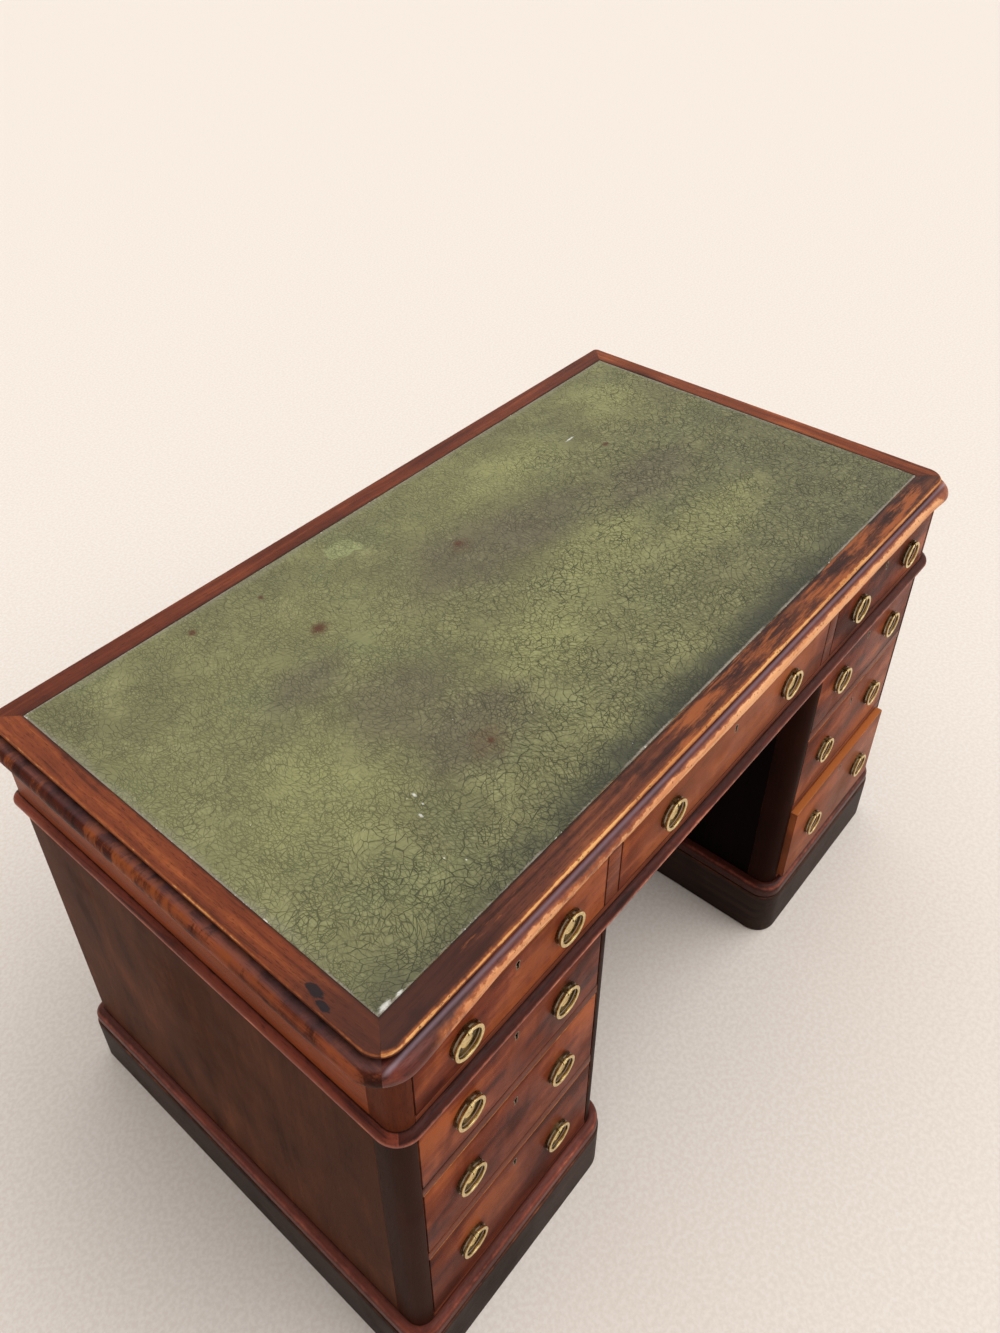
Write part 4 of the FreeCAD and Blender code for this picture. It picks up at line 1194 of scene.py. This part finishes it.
def buildFrames():
    gap, run, head, depth = frames["sideGap"], frames["runGap"], frames["headGap"], frames["railDepth"]
    for tag in ("left", "right"):
        stands = f"{tag}_pedestal_frame"
        low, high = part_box(stands)
        rear = low.y + depth
        floors, heads = {}, {}
        for level in ("bottom", "middle", "top"):
            frontLow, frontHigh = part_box(f"{tag}_{level}_drawer_front")
            floors[level], heads[level] = frontLow.z - run, frontHigh.z + head
        levels = (("bottom_board", low.z, floors["bottom"], high.y),
                  ("lower_rail", heads["bottom"], floors["middle"], rear),
                  ("upper_rail", heads["middle"], floors["top"], rear),
                  ("top_board", heads["top"], high.z, high.y))
        for name, base, crown, end in levels:
            buildRail(f"{tag}_{name}", (low.x, low.y, base), (high.x, end, crown), stands)
    low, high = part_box("frieze_frame")
    frontLow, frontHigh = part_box("frieze_centre_drawer_front")
    floor, crown = frontLow.z - run, frontHigh.z + head
    rear = low.y + depth
    boards = [("frieze_lower_rail", (low.x, low.y, low.z), (high.x, rear, floor)),
              ("frieze_upper_rail", (low.x, low.y, crown), (high.x, rear, high.z)),
              ("dust_board", (low.x, rear, low.z), (high.x, high.y, low.z + frames["dustBoard"]))]
    for tag, edge in (("left", frontLow.x - gap - frames["divider"]), ("right", frontHigh.x + gap)):
        boards.append((f"{tag}_divider", (edge, low.y, floor), (edge + frames["divider"], rear, crown)))
    for name, start, end in boards:
        buildRail(name, start, end, "frieze_frame")


def buildBacks():
    low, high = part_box("back_boards")
    friezeLow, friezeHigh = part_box("frieze_frame")
    spans = [("frieze_back", friezeLow.x, friezeHigh.x, friezeLow.z, friezeHigh.z)]
    for tag in ("left", "right"):
        pedLow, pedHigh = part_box(f"{tag}_pedestal_frame")
        spans.append((f"{tag}_back", pedLow.x, pedHigh.x, low.z, pedHigh.z))
    for name, startX, endX, base, crown in spans:
        buildBoard(name, (startX, low.y, base), (endX, high.y, crown), frames["easing"], backWood,
                   "carcass", "back_boards")


buildFrames()
buildBacks()
print("frames and backs set")


# Plinths and their base mouldings
plinth = {
    "step": 12 * mm, "frontRadius": 22 * mm, "backRadius": 6 * mm, "projection": 15 * mm,
    "height": 92 * mm, "thick": 26 * mm, "topRound": 3 * mm, "topWear": (0.3, 0.8, 1.0, 0.8, 0.3),
    "topSteps": 4, "footRound": 2 * mm,
    # how far in and up, in foot rounds, then wear, and grime with painted shade
    "footRows": [(1.0, 0.0, 0.3, 0.4), (0.3, 0.3, 0.8, 0.3), (0.0, 1.0, 0.4, 0.3), (0.0, 3.0, 0.0, 0.2)],
    "middleShare": 0.5, "faceEnd": 3, "dentDepth": 0.7 * mm, "dentGrain": (110.0, 28.0),
}
baseMould = {
    "projection": 13 * mm, "round": 11.5 * mm, "foot": 3 * mm, "footSteps": 4, "footWear": 0.3,
    "footGrimeShade": 0.1, "noseSteps": 10, "noseHighlightAt": 4, "noseHighlightSteps": 5, "underGrimeShade": 0.8, "topGrimeShade": 0.9,
    "mouldShade": seen(38, 18, 15), "mouldShadeRange": (0.1, 0.24, 0.0, 0.55),
}
plinthLook = finishFrom(
    mahogany, dark=(30, 19, 16), middle=(46, 31, 25), light=(64, 43, 34), dirt=(34, 25, 21),
    grime=0.7, figure=0.35, rough=(0.5, 0.65), gloss=0.08, coat=0.0, wear=0.05, rubbed=(108, 60, 42),
    bare=(150, 92, 62), bareDark=(110, 62, 40))
mouldLook = finishFrom(
    mahogany, dark=(56, 25, 20), middle=(92, 42, 32), light=(122, 58, 42), figure=0.3, wear=0.15,
    rough=(0.3, 0.45), gloss=0.12, coat=0.02, rubbed=(140, 74, 58), bare=(170, 100, 74),
    bareDark=(140, 78, 56))


# Painted shade darkens the mould of the right pedestal
def mouldLayers(tree, coords, color, edge, normal):
    mouldShade = ease(tree, axisOf(tree, coords, "X"), *baseMould["mouldShadeRange"])
    return blend(tree, mouldShade, color, baseMould["mouldShade"]), edge


def plinthProfile(base, height):
    crown, foot = plinth["topRound"], plinth["footRound"]
    profile = [onCore(base, 1.0)]
    for inward, up, worn, dirty in plinth["footRows"]:
        profile.append(onEdge(-foot * inward, base + foot * up, worn, dirty))
    profile.append(onEdge(0.0, height * plinth["middleShare"]))
    profile.append(onEdge(0.0, height - plinth["faceEnd"] * crown))
    topArc = arc((-crown, height - crown), crown, 0, 90, plinth["topSteps"])
    profile += [onEdge(*point, worn) for point, worn in zip(topArc, plinth["topWear"])]
    profile.append(onCore(height, 1.0))
    return profile


def baseMouldProfile(base, top):
    deep, curve, foot = baseMould["projection"], baseMould["round"], baseMould["foot"]
    # grime and painted shade under the mould and where it meets the plinth and the carcass
    profile = [onEdge(-deep, base, 0.0, 1.0), onEdge(-foot, base, 0.0, baseMould["underGrimeShade"])]
    footArc = list(arc((-foot, base + foot), foot, -90, 0, baseMould["footSteps"]))
    profile += [onEdge(*point, baseMould["footWear"], baseMould["footGrimeShade"]) for point in footArc[1:]]
    # painted highlight: a lighter line along the nose, laid on as wear
    for i, point in enumerate(arc((-curve, top - curve), curve, 0, 90, baseMould["noseSteps"])):
        worn = max(0.0, 1.0 - abs(i - baseMould["noseHighlightAt"]) / baseMould["noseHighlightSteps"])
        profile.append(onEdge(*point, worn))
    profile.append(onEdge(-deep, top, 0.0, baseMould["topGrimeShade"]))
    return profile


def buildPlinths():
    boardWoods = longAndEnds(woodFinish("plinthWood", plinthLook),
                             woodFinish("endPlinthWood", finishFrom(plinthLook, grain="Y")))
    mouldWoods = longAndEnds(woodFinish("baseMouldWood", mouldLook, mouldLayers),
                             woodFinish("endBaseMouldWood", finishFrom(mouldLook, grain="Y"), mouldLayers))
    height = plinth["height"]
    for tag in ("left", "right"):
        stands = f"{tag}_plinth"
        low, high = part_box(stands)
        boards = (plinth["projection"], plinth["thick"], plinthProfile(low.z, height), boardWoods)
        deep = baseMould["projection"]
        moulds = (deep, deep, baseMouldProfile(height, high.z), mouldWoods)
        for name, (out, width, profile, woods) in (("plinth_board", boards), ("base_mould", moulds)):
            step = plinth["projection"] - out
            setback = Vector((step, step, 0.0))
            outline = outlineOf(low + setback, high - setback, plinth, out)
            sweepFrame(f"{tag}_{name}", outline, evenInset(width), profile, plinth["step"], woods,
                       stands, denting(plinth))


buildPlinths()
print("plinths set")


# Drawers
drawer = {
    "frontEasing": 1.2 * mm, "boxEasing": 0.6 * mm, "bottomEasing": 0.3 * mm, "sideThick": 9 * mm,
    "bottomThick": 6 * mm, "bottomLift": 6 * mm, "backDrop": 6 * mm, "endGrimeShade": 1.0, "endGap": 0.6 * mm,
    "keyRadius": 2.8 * mm, "keySlot": 2.8 * mm, "keyDrop": 9 * mm, "keySteps": 20, "keyOverrun": 5 * mm,
    "linerWall": 1.2 * mm, "fit": 0.05 * mm,
    "tailLength": 9 * mm, "tailPitch": 34 * mm, "tailProud": 0.1 * mm, "tailSunk": 0.4 * mm,
    "tailLap": 0.2 * mm, "tailRootShare": 0.24, "tailTipShare": 0.36, "leastTails": 2,
    "keyBelowHead": {"frieze": 15 * mm, "top": 26 * mm, "middle": 26 * mm, "bottom": 15 * mm},
}
drawerLook = finishFrom(
    mahogany, dark=(66, 25, 15), middle=(112, 48, 26), light=(158, 82, 44), figure=0.95, streak=0.3,
    pore=0.4, wear=0.4, grime=0.35, grimeScale=9.0, gloss=0.04, coat=0.0, rubbed=(172, 100, 58))
drawerMarks = {
    "bareTop": seen(182, 104, 52), "leftShade": seen(70, 34, 24), "lightened": seen(164, 98, 62),
    "lower": (0.55, 0.15), "leftShadeLow": (0.42, 0.12), "leftShadeSide": (0.0, -0.3, 0.0, 0.45),
    "friezeLow": (0.58, 0.62), "lightenedMiddle": (0.15, 0.27, 0.35, 0.0), "lightenedRight": (0.0, 0.3, 0.0, 0.35),
    "upward": (0.85, 0.98), "bareTopMix": 0.8,
}


# Painted shade low on the left, painted light low on the right, lighter mid-frieze, bare on the top edges
def drawerLayers(tree, coords, color, edge, normal):
    marks = drawerMarks
    x, z = axisOf(tree, coords, "X"), axisOf(tree, coords, "Z")
    lower = ease(tree, z, *marks["lower"])
    leftShade = times(tree, ease(tree, z, *marks["leftShadeLow"]), ease(tree, x, *marks["leftShadeSide"]))
    color = blend(tree, leftShade, color, marks["leftShade"])
    middle = ease(tree, z, *marks["friezeLow"])
    color = stain(tree, color, middle, ease(tree, unsigned(tree, x), *marks["lightenedMiddle"]), marks["lightened"])
    color = stain(tree, color, lower, ease(tree, x, *marks["lightenedRight"]), marks["lightened"])
    upward = ease(tree, axisOf(tree, normal, "Z"), *marks["upward"])
    return stain(tree, color, upward, marks["bareTopMix"], marks["bareTop"]), edge


drawerNames = [f"frieze_{place}" for place in ("left", "centre", "right")]
drawerNames += [f"{tag}_{level}" for tag in ("left", "right") for level in ("top", "middle", "bottom")]


def cutKeyhole(piece, middleX, headZ, front, back):
    wall = drawer["linerWall"] + drawer["fit"]
    radius, half = drawer["keyRadius"] + wall, drawer["keySlot"] / 2 + wall
    tilt = math.degrees(math.asin(half / radius))
    points = [(half, -drawer["keyDrop"] - wall)]
    points += list(arc((0.0, 0.0), radius, -90 + tilt, 270 - tilt, drawer["keySteps"]))
    points.append((-half, -drawer["keyDrop"] - wall))
    solid = bmesh.new()
    rows = [[solid.verts.new((middleX + x, y, headZ + z)) for x, z in points] for y in (front, back)]
    skin(solid, rows)
    solid.faces.new(rows[0][::-1])
    solid.faces.new(rows[1])
    cutter = link("keyhole", toMesh("keyhole", solid))
    modifier = piece.modifiers.new("keyhole", "BOOLEAN")
    modifier.object = cutter
    modifier.solver = "EXACT"
    shaped = bpy.data.meshes.new_from_object(piece.evaluated_get(bpy.context.evaluated_depsgraph_get()))
    piece.modifiers.clear()
    piece.data = shaped
    shiftGrain(piece.name, shaped)
    bpy.data.objects.remove(cutter)


# Dovetail ends of the sides, let into the ends of the front
def addTails(solid, low, high):
    height = high.z - low.z
    count = max(drawer["leastTails"], round(height / drawer["tailPitch"]))
    pitch = height / count
    root, tip = pitch * drawer["tailRootShare"], pitch * drawer["tailTipShare"]
    near, far = low.y + drawer["tailLap"], low.y - drawer["tailLength"]
    proud, sunk = drawer["tailProud"], drawer["tailSunk"]
    for outer, inner in ((low.x - proud, low.x + sunk), (high.x - sunk, high.x + proud)):
        for i in range(count):
            middle = low.z + pitch * (i + 0.5)
            section = ((near, middle - root), (near, middle + root),
                       (far, middle + tip), (far, middle - tip))
            rows = [[solid.verts.new((x, y, z)) for y, z in section] for x in (outer, inner)]
            skin(solid, rows)
            solid.faces.new(rows[0])
            solid.faces.new(rows[1][::-1])


def buildDrawers():
    frontWood = woodFinish("drawerFrontWood", drawerLook, drawerLayers)
    thick, rise = drawer["sideThick"], drawer["bottomLift"] + drawer["bottomThick"]
    overrun = drawer["keyOverrun"]
    shrink = Vector((drawer["endGap"], 0.0, 0.0))
    for name in drawerNames:
        body = f"{name}_drawer"
        low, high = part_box(f"{body}_front")
        # the front's upright edges take grime and painted shade from the gaps beside it
        piece = buildBoard(f"{name}_front", low + shrink, high - shrink, drawer["frontEasing"], frontWood,
                           body, f"{body}_front", endGrimeShade=drawer["endGrimeShade"])
        level = "frieze" if name.startswith("frieze") else name.split("_")[1]
        keyZ = high.z - drawer["keyBelowHead"][level]
        cutKeyhole(piece, (low.x + high.x) / 2, keyZ, low.y - overrun, high.y + overrun)

        low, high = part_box(f"{body}_box")
        solid = newSolid()
        for startX in (low.x, high.x - thick):
            addBoard(solid, (startX, low.y, low.z), (startX + thick, high.y, high.z), drawer["boxEasing"])
        addBoard(solid, (low.x + thick, high.y - thick, low.z + rise),
                 (high.x - thick, high.y, high.z - drawer["backDrop"]), drawer["boxEasing"])
        addTails(solid, low, high)
        settle(f"{name}_sides", solid, oakWood, body, [f"{body}_box"])
        buildBoard(f"{name}_bottom", (low.x + thick, low.y, low.z + drawer["bottomLift"]),
                   (high.x - thick, high.y, low.z + rise), drawer["bottomEasing"], oakAcross, body,
                   f"{body}_box")


buildDrawers()
print("drawers built")


# Brass pulls, keyhole liners and locks keep their CAD shapes
brass = {
    "bright": seen(230, 207, 150), "worn": seen(202, 175, 116), "tarnish": seen(58, 43, 24),
    "ringTarnish": 0.38, "plateTarnish": 0.8, "sunkRange": (3.3 * mm, 4.1 * mm, 1.0, 0.0),
    "blotch": (190.0, 4.0), "brightRange": (0.35, 0.65), "dullFacing": (0.25, 0.95, 1.0, 0.0),
    "blotchGain": 0.35, "dullRange": (0.3, 0.95), "rough": (0.3, 0.7, 0.2, 0.36),
    "scratchDensity": 0.5, "relief": 0.06 * mm,
}


def brassFinish(name, tarnishAmount, drawerFace=None):
    material, tree, shader = newMaterial(name)
    source = put(tree, "ShaderNodeTexCoord")
    coords = source.outputs["Object"]
    facing = unsigned(tree, axisOf(tree, source.outputs["Normal"], "Y"))
    blotch = cloud(tree, coords, *brass["blotch"])
    color = blend(tree, ease(tree, blotch, *brass["brightRange"]), brass["worn"], brass["bright"])
    dull = ease(tree, facing, *brass["dullFacing"])
    if drawerFace is not None:
        # polish only reaches the boss and the rim
        proud = minus(tree, drawerFace, axisOf(tree, coords, "Y"))
        dull = larger(tree, dull, ease(tree, proud, *brass["sunkRange"]))
    dull = plus(tree, dull, times(tree, blotch, brass["blotchGain"]))
    color = stain(tree, color, ease(tree, dull, *brass["dullRange"]), tarnishAmount, brass["tarnish"])
    feed(tree, shader.inputs["Base Color"], color)
    shader.inputs["Metallic"].default_value = 1.0
    feed(tree, shader.inputs["Roughness"], ease(tree, blotch, *brass["rough"]))
    scratch = feedGroup(tree, fineScratches, {"Vector": coords, "Density": brass["scratchDensity"]})["Mask"]
    feed(tree, shader.inputs["Normal"], bump(tree, minus(tree, blotch, scratch), brass["relief"]))
    return material


def dressCadNode(name, material):
    mesh = nodes[name].data
    mesh.materials.clear()
    mesh.materials.append(material)


def dressCadNodes():
    ringBrass = brassFinish("ringBrass", brass["ringTarnish"])
    plateBrass = {}
    for drawerName in drawerNames:
        face = round(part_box(f"{drawerName}_drawer_front")[0].y, 4)
        if face not in plateBrass:
            plateBrass[face] = brassFinish(f"plateBrass{len(plateBrass) + 1}", brass["plateTarnish"], face)
        dressCadNode(f"{drawerName}_drawer_brass", plateBrass[face])
        for hand in ("left", "right"):
            dressCadNode(f"{drawerName}_{hand}_ring", ringBrass)
    dressCadNode("top_panel", pineWood)
    dressCadNode("drawer_runners", oakWood)


dressCadNodes()
print("brass dressed")


# Stage: pale floor, soft light and the camera
stage = {
    "floorHalf": 30.0, "floor": seen(235, 226, 217), "floorShade": seen(227, 216, 206),
    "pile": (150.0, 4.0), "pileRange": (0.35, 0.65), "floorRough": 0.9, "floorGloss": 0.1,
    "backdrop": seen(242, 233, 223), "ambient": (1.0, 0.975, 0.95), "ambientStrength": 0.58,
    "key": {"at": (1.5, -1.7, 2.6), "spread": 60.0, "power": 1.72},
    "sky": {"at": (0.4, 0.9, 3.0), "spread": 70.0, "power": 0.65},
}
camera = {
    "at": (-0.9417, -0.742, 1.7171), "azimuth": -48.62, "elevation": 37.66, "roll": -0.97, "lens": 30.26,
    "sensor": 36.0, "shiftX": 0.01725, "shiftY": -0.0784,
}


def addFloor():
    half = stage["floorHalf"]
    mesh = bpy.data.meshes.new("floor")
    corners = [(-half, -half, 0), (half, -half, 0), (half, half, 0), (-half, half, 0)]
    mesh.from_pydata(corners, [], [(0, 1, 2, 3)])
    floor = link("floor", mesh)
    material, tree, shader = newMaterial("paleFloor")
    pile = cloud(tree, objectCoords(tree), *stage["pile"])
    color = blend(tree, ease(tree, pile, *stage["pileRange"]), stage["floorShade"], stage["floor"])
    feed(tree, shader.inputs["Base Color"], color)
    shader.inputs["Roughness"].default_value = stage["floorRough"]
    shader.inputs["Specular IOR Level"].default_value = stage["floorGloss"]
    mesh.materials.append(material)


def addLamp(name, look):
    lamp = bpy.data.lights.new(name, "SUN")
    lamp.angle = math.radians(look["spread"])
    lamp.energy = look["power"]
    holder = link(name, lamp)
    holder.location = look["at"]
    holder.rotation_euler = (-Vector(look["at"])).to_track_quat("-Z", "Y").to_euler()


def addCamera():
    lens = bpy.data.cameras.new("camera")
    lens.lens = camera["lens"]
    lens.sensor_width = camera["sensor"]
    lens.shift_x, lens.shift_y = camera["shiftX"], camera["shiftY"]
    holder = link("camera", lens)
    turn, lift, roll = (math.radians(camera[angle]) for angle in ("azimuth", "elevation", "roll"))
    back = Vector((math.sin(turn) * math.cos(lift), -math.cos(turn) * math.cos(lift), math.sin(lift)))
    right = (-back).cross(Vector((0, 0, 1))).normalized()
    up = right.cross(-back)
    rolledRight = right * math.cos(roll) + up * math.sin(roll)
    rolledUp = up * math.cos(roll) - right * math.sin(roll)
    matrix = Matrix((rolledRight, rolledUp, back)).transposed().to_4x4()
    matrix.translation = camera["at"]
    holder.matrix_world = matrix
    bpy.context.scene.camera = holder


def addWorld():
    world = bpy.data.worlds.new("softRoom")
    world.use_nodes = True
    tree = world.node_tree
    path = put(tree, "ShaderNodeLightPath").outputs
    shown = larger(tree, path["Is Camera Ray"], path["Is Glossy Ray"])
    shown = larger(tree, shown, path["Is Transmission Ray"])
    ambient = (*(level * stage["ambientStrength"] for level in stage["ambient"]), 1.0)
    feed(tree, tree.nodes["Background"].inputs["Color"], blend(tree, shown, ambient, stage["backdrop"]))
    bpy.context.scene.world = world


addFloor()
addLamp("keyLamp", stage["key"])
addLamp("skyLamp", stage["sky"])
addWorld()
addCamera()
bpy.context.scene.view_settings.view_transform = "Standard"
print("stage set")
